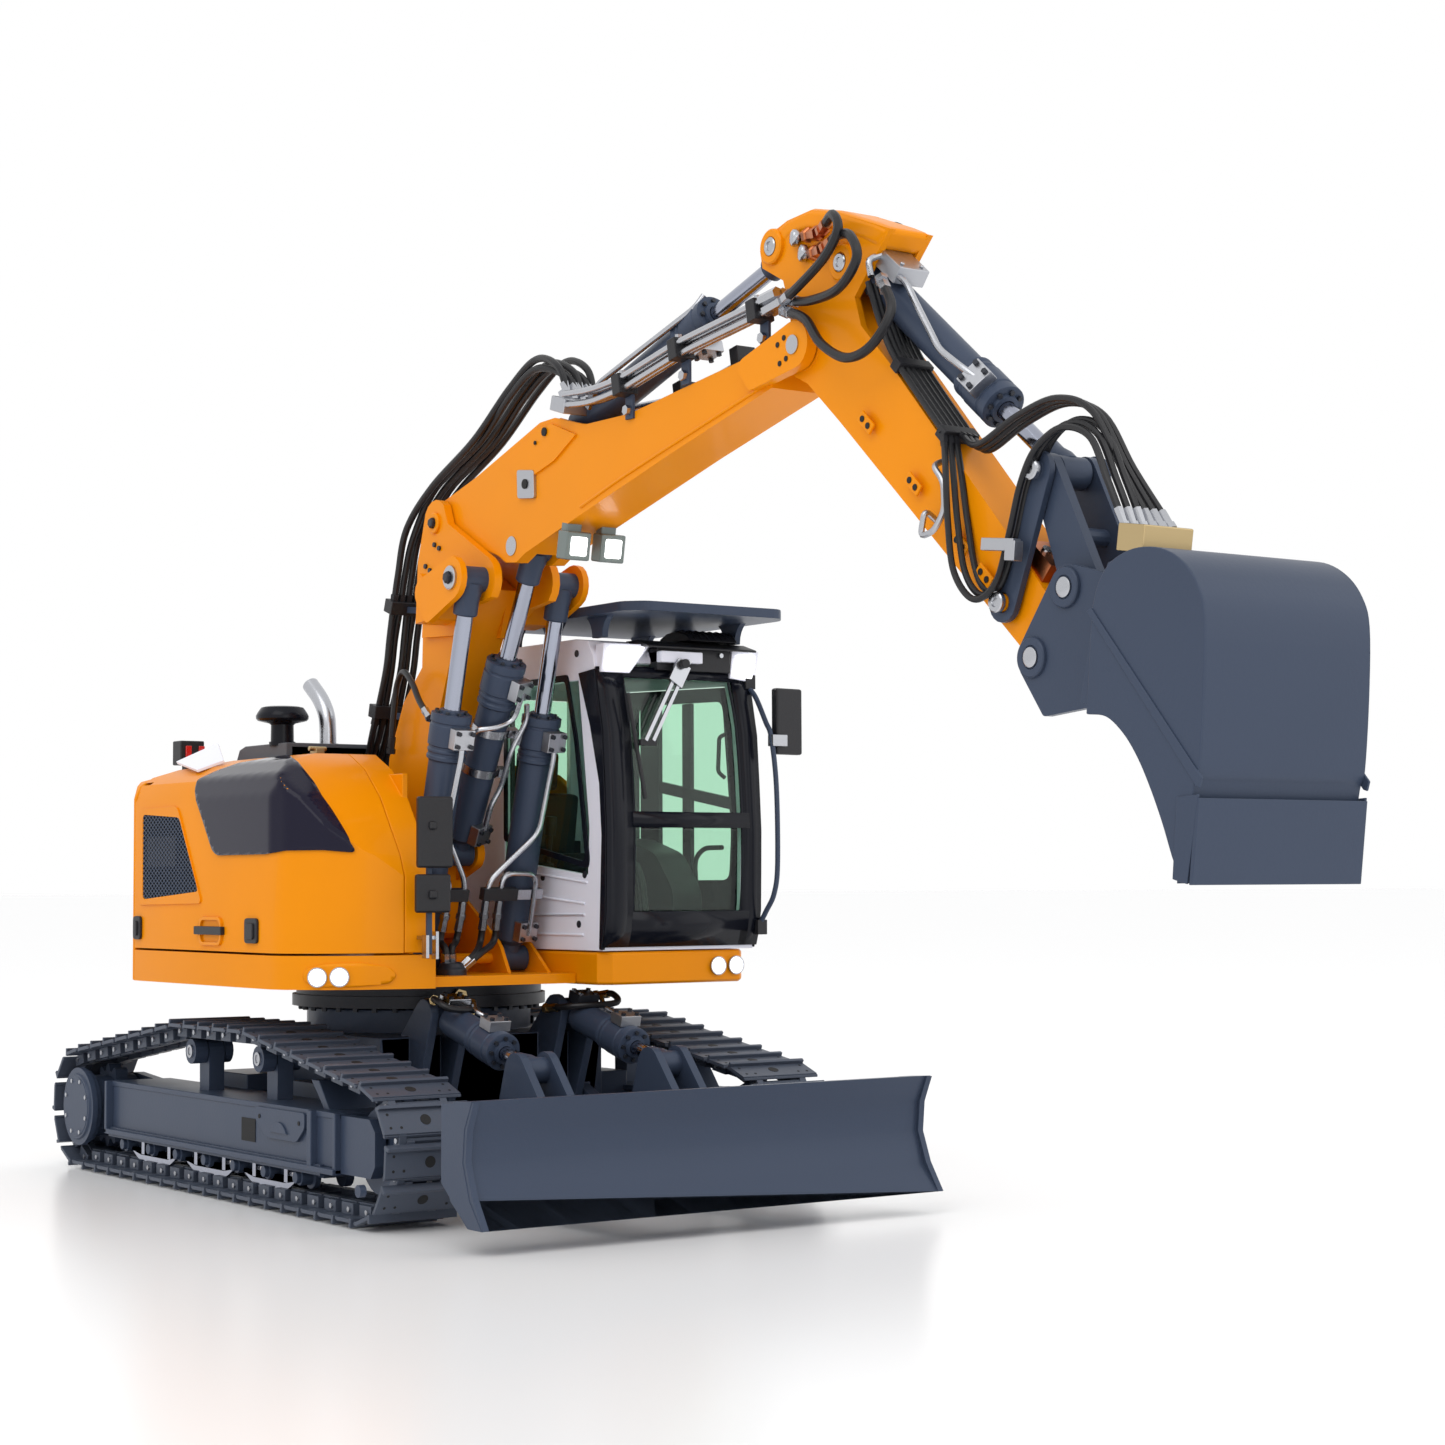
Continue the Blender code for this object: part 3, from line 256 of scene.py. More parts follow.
def soften(outline, radius=2.0, steps=3):
    """A closed outline with its corners rounded."""
    result = []
    for i, point in enumerate(outline):
        corner = Vector(point)
        a, b = Vector(outline[i - 1]) - corner, Vector(outline[(i + 1) % len(outline)]) - corner
        reach = min(radius, a.length * 0.45, b.length * 0.45)
        start, stop = corner + a.normalized() * reach, corner + b.normalized() * reach
        result += [tuple(bend(start, corner, stop, k / steps)) for k in range(steps + 1)]
    return result


def hull(circles, steps=6):
    """Outline of a belt drawn tight round circles (u, v, radius), given anticlockwise."""
    headings = []
    for (u0, v0, r0), (u1, v1, r1) in zip(circles, circles[1:] + circles[:1]):
        distance = math.hypot(u1 - u0, v1 - v0)
        headings.append(math.atan2(v1 - v0, u1 - u0) - math.asin((r1 - r0) / distance) - math.pi / 2)
    outline = []
    for i, (u, v, r) in enumerate(circles):
        start, stop = headings[i - 1], headings[i]
        while stop < start:
            stop += 2 * math.pi
        turns = max(1, round(steps * (stop - start) / (math.pi / 2)))
        outline += arc((u, v), r, math.degrees(start), math.degrees(stop), turns)
    return outline


def place_mesh(name, bm, material, crease=None):
    """A linked object made from a bmesh, shaded smooth but for edges sharper than crease."""
    for face in bm.faces:
        face.smooth = True
    for edge in bm.edges:
        if crease is not None and len(edge.link_faces) == 2:
            edge.smooth = edge.calc_face_angle(0.0) < math.radians(crease)
    mesh = bpy.data.meshes.new(name)
    bm.to_mesh(mesh)
    bm.free()
    obj = bpy.data.objects.new(name, mesh)
    bpy.context.scene.collection.objects.link(obj)
    mesh.materials.append(material)
    return obj


def thicken(obj, thick):
    shell = obj.modifiers.new("thickness", "SOLIDIFY")
    shell.thickness = thick * MM
    shell.offset = -1.0


def round_edges(obj, width, segments, angle):
    edge = obj.modifiers.new("edges", "BEVEL")
    edge.width = width * MM
    edge.segments = segments
    edge.limit_method = "ANGLE"
    edge.angle_limit = math.radians(angle)
    edge.harden_normals = True


class Batch:
    """Solids of one material on one body, gathered into one piece."""

    def __init__(self, name, body, paint, bevel=0.0, crease=35.0):
        self.name, self.body, self.paint = name, body, paint
        self.bevel, self.crease = bevel, crease
        self.bm = bmesh.new()

    def ring(self, centre, side, other, radius, sides):
        """A circle of vertices round a world point, in the plane of two directions."""
        turns = [2 * math.pi * i / sides for i in range(sides)]
        return [self.bm.verts.new(centre + side * radius * math.cos(turn) + other * radius * math.sin(turn))
                for turn in turns]

    def skin(self, rings, closed=False):
        """Faces between rings of vertices, with a cap on both ends unless the rings close up."""
        pairs = list(zip(rings, rings[1:])) + ([(rings[-1], rings[0])] if closed else [])
        for low, high in pairs:
            for i in range(len(low)):
                k = (i + 1) % len(low)
                self.bm.faces.new((low[i], low[k], high[k], high[i]))
        if not closed:
            self.bm.faces.new(list(reversed(rings[0])))
            self.bm.faces.new(rings[-1])
        return self

    def lathe(self, profile, a, b, sides=20, closed=False):
        """Turned solid from machine point a towards b; profile is (along, radius) in mm."""
        start, stop = at(*a), at(*b)
        axis = (stop - start).normalized()
        side = axis.orthogonal().normalized()
        other = axis.cross(side)
        rings = [self.ring(start + axis * t * MM, side, other, max(r, 0.01) * MM, sides) for t,
                r in profile]
        return self.skin(rings, closed)

    def rod(self, a, b, radius, sides=16):
        return self.lathe([(0, radius), ((Vector(b) - Vector(a)).length, radius)], a, b, sides)

    def across(self, centre, radius, low, high, sides=20):
        return self.rod((low, *centre), (high, *centre), radius, sides)

    def tube(self, points, radius, sides=10):
        """A round tube along machine points."""
        path = [at(*p) for p in points]
        tangents = [(path[min(i + 1, len(path) - 1)] - path[max(i - 1, 0)]).normalized()
                    for i in range(len(path))]
        side = tangents[0].orthogonal().normalized()
        rings = []
        for place, tangent in zip(path, tangents):
            side = (side - tangent * side.dot(tangent)).normalized()
            rings.append(self.ring(place, side, tangent.cross(side), radius * MM, sides))
        return self.skin(rings)

    def block(self, corners):
        """A six-sided solid from eight machine points, the first direction running fastest."""
        verts = [self.bm.verts.new(at(*corner)) for corner in corners]
        for face in BOX_FACES:
            self.bm.faces.new([verts[i] for i in face])
        return self

    def box(self, x, f, z):
        return self.block([(x[i], f[k], z[m]) for m in (0, 1) for k in (0, 1) for i in (0, 1)])

    def cube(self, centre, size, v=(0, 1, 0), u=(1, 0, 0)):
        """A box round a machine point, its first two edges along u and v in (X, F, Z)."""
        u, v = Vector(u).normalized(), Vector(v).normalized()
        w = u.cross(v)
        half = (-0.5, 0.5)
        return self.block([Vector(centre) + u * size[0] * i + v * size[1] * j + w * size[2] * k
                           for k in half for j in half for i in half])

    def plate(self, outline, low, high, view="side"):
        """A flat outline made thick: side (F, Z) along X, top (X, F) along Z, front (X, Z) along F."""
        def place(u, v, w):
            return {"side": at(w, u, v), "top": at(u, v, w), "front": at(u, w, v)}[view]
        near = [self.bm.verts.new(place(u, v, low)) for u, v in outline]
        far = [self.bm.verts.new(place(u, v, high)) for u, v in outline]
        return self.skin([near, far])

    def frame_plate(self, outer, inner, low, high):
        """A flat ring, in a side view, between two outlines with equally many points."""
        rings = [[self.bm.verts.new(at(x, f, z)) for f, z in loop]
                 for loop, x in ((outer, low), (outer, high), (inner, high), (inner, low))]
        return self.skin(rings, closed=True)

    def sheet(self, rows):
        """A surface through rows of machine points."""
        grid = [[self.bm.verts.new(at(*p)) for p in row] for row in rows]
        for low, high in zip(grid, grid[1:]):
            for i in range(len(low) - 1):
                self.bm.faces.new((low[i], low[i + 1], high[i + 1], high[i]))
        return self

    def done(self, *replaced, thick=0.0):
        """Turn the batch into an object on its body, in place of any CAD nodes that are named."""
        bmesh.ops.recalc_face_normals(self.bm, faces=self.bm.faces)
        obj = place_mesh(self.name, self.bm, PAINT[self.paint], self.crease)
        if thick:
            thicken(obj, thick)
        if self.bevel:
            round_edges(obj, self.bevel, 2, 40)
        if self.body:
            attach(obj, self.body)
        if replaced:
            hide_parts(*replaced)
        return obj


def finish(*batches):
    for batch in batches:
        batch.done()


def repaint(paint, *nodes):
    """Give CAD nodes that keep their shape a finished material."""
    for node in nodes:
        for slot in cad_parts[node].material_slots:
            slot.material = PAINT[paint]


def rounded_node(node, body, paint, width=0.7):
    """A CAD node's own shape with its flat faces merged and its edges rounded."""
    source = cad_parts[node]
    bm = bmesh.new()
    bm.from_mesh(source.data)
    bm.transform(source.matrix_world)
    bmesh.ops.remove_doubles(bm, verts=bm.verts, dist=2e-6)
    bmesh.ops.dissolve_limit(bm, angle_limit=math.radians(0.8), verts=bm.verts, edges=bm.edges)
    for face in bm.faces:
        face.material_index = 0
    obj = place_mesh(node + "_panel", bm, PAINT[paint], 32.0)
    round_edges(obj, width, 3, 28.0)
    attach(obj, body)
    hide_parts(node)


def surface_of(*nodes):
    """A search tree of CAD nodes as they stand."""
    points, faces = [], []
    for node in nodes:
        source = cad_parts[node]
        first = len(points)
        points += [source.matrix_world @ v.co for v in source.data.vertices]
        faces += [[first + i for i in face.vertices] for face in source.data.polygons]
    return BVHTree.FromPolygons(points, faces)


def decal(name, body, paint, outline, direction, nodes, lift=0.35, step=1.6, thick=0.5, corner=0.0):
    """A thin patch with a drawn outline, laid on curved panels along a direction in (X, F, Z)."""
    tree = surface_of(*nodes)
    aim = Vector((direction[0], -direction[1], direction[2])).normalized()
    side = aim.cross(Vector((0, 0, 1))).normalized()
    high = side.cross(aim)
    flat = [((at(*p).dot(side)), at(*p).dot(high)) for p in outline]
    if corner:
        flat = soften(flat, corner * MM, 4)
    bm = bmesh.new()
    bm.faces.new([bm.verts.new(side * u + high * v) for u, v in flat])
    for axis, values in ((side, [u for u, _ in flat]), (high, [v for _, v in flat])):
        place = min(values) + step * MM / 2
        while place < max(values):
            geometry = bm.verts[:] + bm.edges[:] + bm.faces[:]
            bmesh.ops.bisect_plane(bm, geom=geometry, plane_co=axis * place, plane_no=axis, dist=1e-7)
            place += step * MM
    for vert in bm.verts:
        hit, normal, _, _ = tree.ray_cast(vert.co - aim * 1.0, aim)
        if hit is not None:
            vert.co = hit + (normal if normal.dot(aim) < 0 else -normal) * lift * MM
        else:
            near = tree.find_nearest(vert.co + aim * 0.1)[0]
            vert.co = near + aim * (-lift * MM)
    for face in bm.faces:
        if face.normal.dot(aim) > 0:
            face.normal_flip()
    obj = place_mesh(name, bm, PAINT[paint])
    thicken(obj, thick)
    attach(obj, body)


# ------------------------------------------------------------------ undercarriage

def belt_path(offset, count):
    """Points and headings of a belt round a track's wheels, equally spaced."""
    wheel, roller = LINK_INNER + offset, CARRIER_REACH + offset
    outline = hull([(WHEEL_F, WHEEL_Z, wheel), (CARRIERS[1], CARRIER_Z, roller),
        (CARRIERS[0], CARRIER_Z, roller), (-WHEEL_F, WHEEL_Z, wheel)], 12)
    closed = outline + [outline[0]]
    lengths = [math.dist(a, b) for a, b in zip(closed, closed[1:])]
    total = sum(lengths)
    result = []
    for i in range(count):
        left = total * (i + 0.5) / count
        for (a, b), length in zip(zip(closed, closed[1:]), lengths):
            if left <= length:
                break
            left -= length
        u = ((b[0] - a[0]) / length, (b[1] - a[1]) / length)
        result.append(((a[0] + u[0] * left, a[1] + u[1] * left), u))
    return result


def make_chain(side, tag):
    shoes = Batch("track_shoes_" + tag, "undercarriage", "track", 0.2)
    links = Batch("track_links_" + tag, "undercarriage", "track", 0.2)
    # holes in the shoes are near-black discs: painted shade
    holes = Batch("track_holes_" + tag, "undercarriage", "painted_shade")
    pins = Batch("track_pins_" + tag, "undercarriage", "alloy")
    for (f, z), (df, dz) in belt_path(SOLE_LEVEL, SHOES):
        along, out = Vector((0, df, dz)), Vector((0, dz, -df))
        centre = Vector((side * TRACK_X, f, z))

        def place(x, a, o):
            return centre + Vector((x, 0, 0)) + along * a + out * o
        shoes.cube(place(0, -0.8, 1.3), (32.2, 9.4, 1.3), along)
        shoes.cube(place(0, 4.1, 1.9), (32.2, 1.3, 3), along * 1 + out * 0.25)
        shoes.cube(place(0, -5.6, 1), (32.2, 1.3, 1), along - out * 0.45)
        for x in (-6.6, 6.6):
            links.cube(place(x, 0.4, -1.3), (3, 11.2, 4.6), along)
            links.cube(place(x * 1.42, 4.6, -1.3), (2.6, 8.2, 3.9), along)
        links.rod(place(-9.8, 6, -1.2), place(9.8, 6, -1.2), 1.5, 10)
        pins.rod(place(-11.2, 6, -1.2), place(11.2, 6, -1.2), 0.9, 8)
        holes.rod(place(0, -0.8, 1.7), place(0, -0.8, 2.05), 1.9, 14)
        for x in (-13.2, -9.4, 9.4, 13.2):
            for a in ((-3.2, 1.6) if abs(x) > 10 else (-3.2,)):
                holes.rod(place(x, a, 1.7), place(x, a, 2.05), 0.5, 8)
    links.done("track_chain_" + tag)
    finish(shoes, holes, pins)


def make_track_frame(side, tag):
    def x(a, b):
        return span(side, a, b)
    body = Batch("track_frame_skin_" + tag, "undercarriage", "steel", 0.35)
    body.plate(soften([(-91, 34.6), (-91, 17.4), (98, 17.4), (98, 34.6)], 1), *x(83.2, 84.2))
    for across, along, up in ((x(60, 84.6), (-92, 100), (33.6, 35.6)),
            (x(80, 87), (-93, 100), (15.4, 17.4)), (x(83.5, 87), (-93, -91), (15.6, 35.6)),
            (x(83.5, 86.6), (80, 83.2), (15.6, 35.6)), (x(83.5, 86.2), (98, 100), (15.6, 35.6))):
        body.box(across, along, up)
    body.plate([(80, 35.4), (84, 35.4), (76, 45), (70, 45)], *x(62, 80))
    body.done()
    trim = Batch("track_frame_plate_" + tag, "undercarriage", "steel", 0.25)
    trim.plate(soften([(38, 34.2), (38, 29.5), (47, 24), (70, 24), (76, 29), (76, 34.2)], 1.5),
        *x(84.1, 85.4))
    trim.plate([(50, 26.2), *arc((57, 23), 7, 150, 30, 8), (64, 26.2)], *x(85.3, 86))
    trim.done()
    # near-black box and discs in the frame's slot and holes: painted shade
    dark = Batch("track_frame_slots_" + tag, "undercarriage", "painted_shade")
    dark.box(x(84, 84.45), (25, 36), (21.5, 29.5))
    for f, z in ((41.5, 31), (72, 30.5)):
        dark.rod((side * 85.2, f, z), (side * 85.6, f, z), 0.8, 10)
    dark.done()


def make_wheels(side, tag):
    """The final drive's cover with its rim screws, carrier caps, bottom rollers and their guards."""
    Batch("drive_cover_" + tag, "sprocket_" + tag, "steel", 0.25).lathe([(0, 15.2), (2.2, 15.2),
        (2.2, 13), (2.9, 12.6), (2.9, 11.6), (3.1, 11.6), (3.1, 0.1)], (side * 85.4, -WHEEL_F, WHEEL_Z),
        (side * 95, -WHEEL_F, WHEEL_Z), 40).done()
    screws = Batch("drive_screws_" + tag, "sprocket_" + tag, "alloy")
    for i in range(8):
        turn = 2 * math.pi * (i + 0.5) / 8
        f, z = -WHEEL_F + 10.6 * math.cos(turn), WHEEL_Z + 10.6 * math.sin(turn)
        screws.rod((side * 88, f, z), (side * 88.9, f, z), 0.85, 8)
    screws.done()
    for where, f in (("rear", CARRIERS[0]), ("front", CARRIERS[1])):
        Batch(f"carrier_cap_{where}_{tag}", f"carrier_roller_{where}_{tag}",
            "alloy").lathe([(0, 2.4), (0.7, 2.4), (0.7, 1.5), (0.35, 1.5), (0.35, 0.1)],
            (side * 81.4, f, CARRIER_Z), (side * 90, f, CARRIER_Z), 20).done()
    rollers = Batch("bottom_rollers_" + tag, "undercarriage", "steel", 0.2)
    guards = Batch("roller_guards_" + tag, "undercarriage", "chrome", 0.15)
    level = 12.2
    for i in range(7):
        f = -79 + 24.7 * i
        rollers.lathe([(0, 4.3), (2.2, 4.3), (2.2, 2.8), (6.4, 2.8), (6.4, 2), (8, 2)],
            (side * 77.5, f, level), (side * 95, f, level), 16)
        rollers.lathe([(0, 4.3), (3, 4.3)], (side * 68, f, level), (side * 60, f, level), 16)
        guards.rod((side * 82, f, level), (side * 82.6, f, level), 1.1, 12)
    rollers.box(span(side, 68, 79), (-86, 78), (level, 16.5))
    for f in (-66, -42, -18, 6, 31, 56):
        guards.box(span(side, 80.6, 82.4), (f - 1.3, f + 1.3), (9.2, 15.4))
    for f in (-56, -6.5, 43):
        outline = [(f - 23, 10.5)] + arc((f, 43), 38.6, 235, 305, 14) + [(f + 23, 10.5)]
        for roller, before, after in ((12.4, (15.5, 11), (9, 11)), (0, (3.2, 11.4), (-3.2, 11.4)),
                (-12.4, (-9, 11), (-15.5, 11))):
            outline += [(f + before[0], before[1]), *arc((f + roller, level), 3.3, -20, -160, 6),
                (f + after[0], after[1])]
        guards.plate(outline, *span(side, 81.3, 82.2))
    rollers.done("roller_bank_" + tag)
    guards.done()


def make_undercarriage():
    for side, tag in SIDES:
        make_chain(side, tag)
        make_track_frame(side, tag)
        make_wheels(side, tag)
    repaint("steel", "car_body", "dozer_blade", "track_frame_right", "track_frame_left")
    for _, tag in SIDES:
        repaint("steel", "sprocket_" + tag, "idler_" + tag, "carrier_roller_rear_" + tag,
            "carrier_roller_front_" + tag)
    repaint("dark", "slewing_ring")
    ring = Batch("slewing_bolts", "undercarriage", "dark")
    ring.lathe([(0, 47.5), (4.2, 47.5), (4.2, 46), (8.3, 46), (8.3, 40)], (0, 0, 66.2), (0, 0, 90), 48)
    for i in range(36):
        turn = 2 * math.pi * i / 36
        spot = (44.2 * math.sin(turn), 44.2 * math.cos(turn))
        ring.rod((*spot, 64.6), (*spot, 66.4), 1.1, 8)
    ring.done()
    Batch("ring_fitting", "undercarriage", "brass", 0.1).lathe([(0, 2), (2.2, 2), (2.2, 3), (4.4, 3),
        (4.4, 1.9), (5.4, 1.9)], (-9, 44, 70.2), (-10.5, 60, 70.2), 6).done()


# ------------------------------------------------------------------ hydraulics

def screws(batch, centre, u, v, reach, out, radius=0.75, height=0.7):
    """Four cap screws at the corners of a block's face."""
    for a in (-1, 1):
        for b in (-1, 1):
            spot = Vector(centre) + Vector(u) * reach[0] * a + Vector(v) * reach[1] * b
            batch.rod(spot, spot + Vector(out) * height, radius, 6)


def make_ram(name, x, base, top, tube, head, body, rod, eye, bodies, port_turn=0, port_low=None,
        collar=13):
    """A hydraulic cylinder: tube, grooved head with its bolt ring, rod and dark rod eye.

    port_turn turns the head's port block round the axis from straight forwards, in degrees.
    Returns p(along, aside, outwards), which gives points on it, and the axis.
    """
    barrel_body, rod_body = bodies
    start, stop = Vector((x, *base)), Vector((x, *top))
    u = (stop - start).normalized()
    s = Vector((1, 0, 0))
    n = s.cross(u)
    if n.y <= 0:
        n = -n
    reach = (stop - start).length

    def p(t, a=0, b=0):
        return tuple(start + u * t + s * a + n * b)
    tube_batch = Batch(name + "_tube", barrel_body, "steel")
    neck = tube * 0.62
    profile = [(2.5, neck), (5.5, neck), (7.5, tube), (body - 17, tube)]
    profile += [(body - back, head * share) for back, share in ((16.2, 0.97), (15.2, 0.97), (14.7, 0.92),
        (14, 0.92), (13.5, 0.97), (12.9, 0.97), (12.4, 0.92), (11.7, 0.92), (11.2, 1), (4.2, 1),
        (3.8, 0.95), (3.2, 0.95), (2.8, 1), (0, 1), (-0.2, 0.93))]
    profile += [(body + on, rod + gap) for on, gap in ((0.2, 1.6), (1.3, 1.4), (1.5, 0.15), (-3, 0.15))]
    tube_batch.lathe(profile, start, stop, 44)
    tube_batch.across(base, 4.6, x - eye, x + eye, 28)
    tube_batch.done(name + "_barrel")
    bolts = Batch(name + "_bolts", barrel_body, "dark")
    for i in range(8):
        turn = 2 * math.pi * i / 8
        spot = [head * 0.76 * math.cos(turn), head * 0.76 * math.sin(turn)]
        bolts.rod(p(body, *spot), p(body + 1.1, *spot), 0.75, 6)
    bolts.done()
    bright = Batch(name + "_piston", rod_body, "chrome")
    hidden = min(ROD_HIDDEN, body * 0.5)
    bright.lathe([(body - hidden, rod), (reach - 4.2, rod)], start, stop, 28)
    bright.done(name + "_rod")
    eye_batch = Batch(name + "_rod_eye", rod_body, "steel", 0.25)
    eye_batch.across(top, 4.5, x - eye, x + eye, 28)
    eye_batch.lathe([(reach - collar, rod + 0.8), (reach - collar + 0.6, rod + 1.3),
        (reach - 7, rod + 1.3), (reach - 4, rod + 2), (reach - 1, rod + 2)], start, stop, 24)
    eye_batch.done()
    turn = math.radians(port_turn)
    out = n * math.cos(turn) + s * math.sin(turn)
    wide = s * math.cos(turn) - n * math.sin(turn)
    ports = Batch(name + "_ports", barrel_body, "alloy", 0.2)
    caps = Batch(name + "_port_screws", barrel_body, "dark")
    spots = [(body - 7.5, head)]
    if port_low:
        spots.append((port_low, tube))
    for t, radius in spots:
        centre = start + u * t + out * (radius + 1.2)
        ports.cube(centre, (8.2, 7.2, 3.8), u, wide)
        screws(caps, centre + out * 1.9, wide, u, (2.8, 2.3), out, 0.9, 1)
    finish(ports, caps)
    return p, u


def hose(name, points, between, radius=1.15, ends=("silver", "silver")):
    """A hose curved across a joint, from a crimped fitting on one body to a crimped fitting on another; the
    tube itself rides on no body.
    """
    path = curve_through(points)
    tube = Batch(name, None, "rubber")
    tube.tube(path, radius)
    obj = tube.done()
    tuple(at(*points[0]))
    tuple(at(*points[-1]))
    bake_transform(obj)
    for tag, place, inner, holder, paint in (("a", path[0], path[1], between[0], ends[0]),
            ("b", path[-1], path[-2], between[1], ends[1])):
        way = (Vector(inner) - Vector(place)).normalized()
        Batch(f"{name}_fitting_{tag}", holder, paint).lathe([(-1, radius * 0.9), (-1, radius * 1.5),
            (0.8, radius * 1.5), (0.8, radius * 1.15), (4, radius * 1.3), (5.2, radius * 1.3),
            (5.2, radius * 0.9)], place, Vector(place) + way * 20, 6).done()


def make_lift_rams():
    p, axis = make_ram("lift_cylinder_right", BOOM_X - LIFT_X, LIFT_BASE, LIFT_TOP, 6, 7.2, 90, 3, 5.9,
        ("lift_barrel_right", "lift_rod_right"), 4)
    black = Batch("pipe_clamps_right", "lift_barrel_right", "plastic", 0.2)
    bright = Batch("lift_pipes_right", "lift_barrel_right", "silver")
    bright.tube(rounded([p(80, 0.6, 9.2), p(76, 0.6, 9.4), p(49, -1, 8.6), p(31, 9, 9.6), p(22, 9, 9.6)],
        4), 1)
    bright.tube(rounded([p(22, -6.5, 9.6), p(33, -6.5, 9.6), p(33, 2.6, 9.6), p(22, 2.6, 9.6)], 4.4, 6),
        1)
    black.cube(p(26.5, 5.6, 9.4), (9.6, 4.4, 3.6), axis)
    bright.cube(p(26.5, -3.6, 9.2), (7.2, 3.6, 3), axis)
    bright.cube(p(25, 0, 6.6), (3.4, 6, 2.4), axis)
    for a in (2.6, 9):
        bright.rod(p(24, a, 9.6), p(18.5, a, 9.6), 1.45, 6)
    finish(black, bright)
    for i, a in enumerate((2.6, 9)):
        hose(f"lift_hose_right_{i}", [p(18.5, a, 9.6), p(10, a - 0.4, 9.4), (-26 + 2.6 * i, 66.5, 88),
            (-25 + 2.6 * i, 65.5, 81.5)], ("lift_barrel_right", "house"), 1.25)

    p, axis = make_ram("lift_cylinder_left", BOOM_X + LIFT_X, LIFT_BASE, LIFT_TOP, 6, 7.2, 90, 3, 5.9,
        ("lift_barrel_left", "lift_rod_left"), 10, 12)
    black = Batch("pipe_clamps_left", "lift_barrel_left", "plastic", 0.2)
    bright = Batch("lift_pipes_left", "lift_barrel_left", "silver")
    bright.tube(rounded([p(80, 1.4, 9.2), p(76, 1.4, 9.4), p(49, 0, 8.8), p(31, -18, 8.6),
        p(22, -18, 8.6)], 4), 1)
    bright.tube(rounded([p(22, -12.5, 8.6), p(34, -12.5, 8.6), p(34, 1.4, 9), p(11, 1.4, 9)], 4.4, 6), 1)
    black.cube(p(26.5, -13, 8.6), (14, 4.4, 3.6), axis)
    bright.cube(p(26.5, -3.4, 8.4), (6, 3.6, 3), axis)
    bright.cube(p(26.5, 3, 7.6), (4, 3.6, 3), axis)
    for a in (-18, -12.5):
        bright.rod(p(24, a, 8.6), p(18.5, a, 8.6), 1.45, 6)
    finish(black, bright)
    for i, a in enumerate((-18, -12.5)):
        hose(f"lift_hose_left_{i}", [p(18.5, a, 8.6), p(9, a, 8.6), (-14.5 + 2 * i, 67, 86),
            (-20.5 + 1.5 * i, 66.5, 81)], ("lift_barrel_left", "house"), 1.25)
    Batch("hose_swivel", "house", "dark", 0.3).lathe([(0, 5.4), (3.4, 5.4), (4.2, 4.6), (5.4, 4.2),
        (6, 3)], (-23.5, 66.5, 77.5), (-23.5, 66.5, 99), 28).done()


def make_adjust_ram():
    """The adjusting cylinder, between the two lift cylinders."""
    p, axis = make_ram("adjust_cylinder", BOOM_X, ADJUST_BASE, ADJUST_TOP, 6, 7.2, 76, 3, 4.6,
        ("adjust_barrel", "adjust_rod"), 25, 11)
    bright = Batch("adjust_pipes", "adjust_barrel", "silver")
    bright.tube(rounded([p(68, 4.2, 8.6), p(57, 4, 8), p(54, -2.5, 8.4), p(52, -9, 6), p(47.5, -9.6, 4)],
        3.2), 1)
    bright.tube(rounded([p(62, 9.5, 5), p(56, 11, 5.4), p(46, 6, 8.2), p(30, 5.6, 8.2), p(24, 3, 8.8),
        p(14, 3, 8.8)], 3), 1)
    for t in (48.5, 33):
        bright.lathe([(t, 6), (t, 6.7), (t + 3, 6.7), (t + 3, 6)], p(0), p(100), 36, True)
        bright.cube(p(t + 1.5, 7.6, 3), (4, 3, 3.4), axis)
    for a, b in ((-9.6, 4), (9.5, 5)):
        bright.rod(p(46.5, a, b), p(50.5, a, b), 1.5, 6)
    bright.done()


def make_stick_rams():
    """The stick's cylinder on the main boom, and the bucket's cylinder on the stick."""
    make_ram("stick_cylinder", BOOM_X, STICK_CYL_BASE, STICK_CYL_TOP, 5.8, 6.9, 90, 2.8, 6.4,
        ("stick_barrel", "stick_rod"), 0)
    p, axis = make_ram("bucket_cylinder", BOOM_X, BUCKET_CYL_BASE, ROCKER_TOP, 5.4, 6.6, 79.3, 2.7, 5,
        ("bucket_barrel", "bucket_rod"), -60)
    block = Batch("bucket_cylinder_manifold", "bucket_barrel", "alloy", 0.3)
    pipe = Batch("bucket_cylinder_pipe", "bucket_barrel", "silver")
    block.cube(p(15, -1, 8.6), (11, 15, 5.4), axis)
    screws(block, p(15, -1, 11.3), (1, 0, 0), axis, (3.6, 5.4), Vector(p(0, 0, 1)) - Vector(p(0)))
    pipe.tube(rounded([p(20, -5, 8), p(27, -6, 9), p(33, -6.5, 7.4), p(55, -8.8, 3), p(66, -8.6, 4),
        p(72, -7.6, 4.4)], 3), 1)
    pipe.tube(rounded([p(12, -6, 9.5), p(12, -10, 7.5), p(17, -10.4, 4.6)], 2), 1)
    finish(block, pipe)


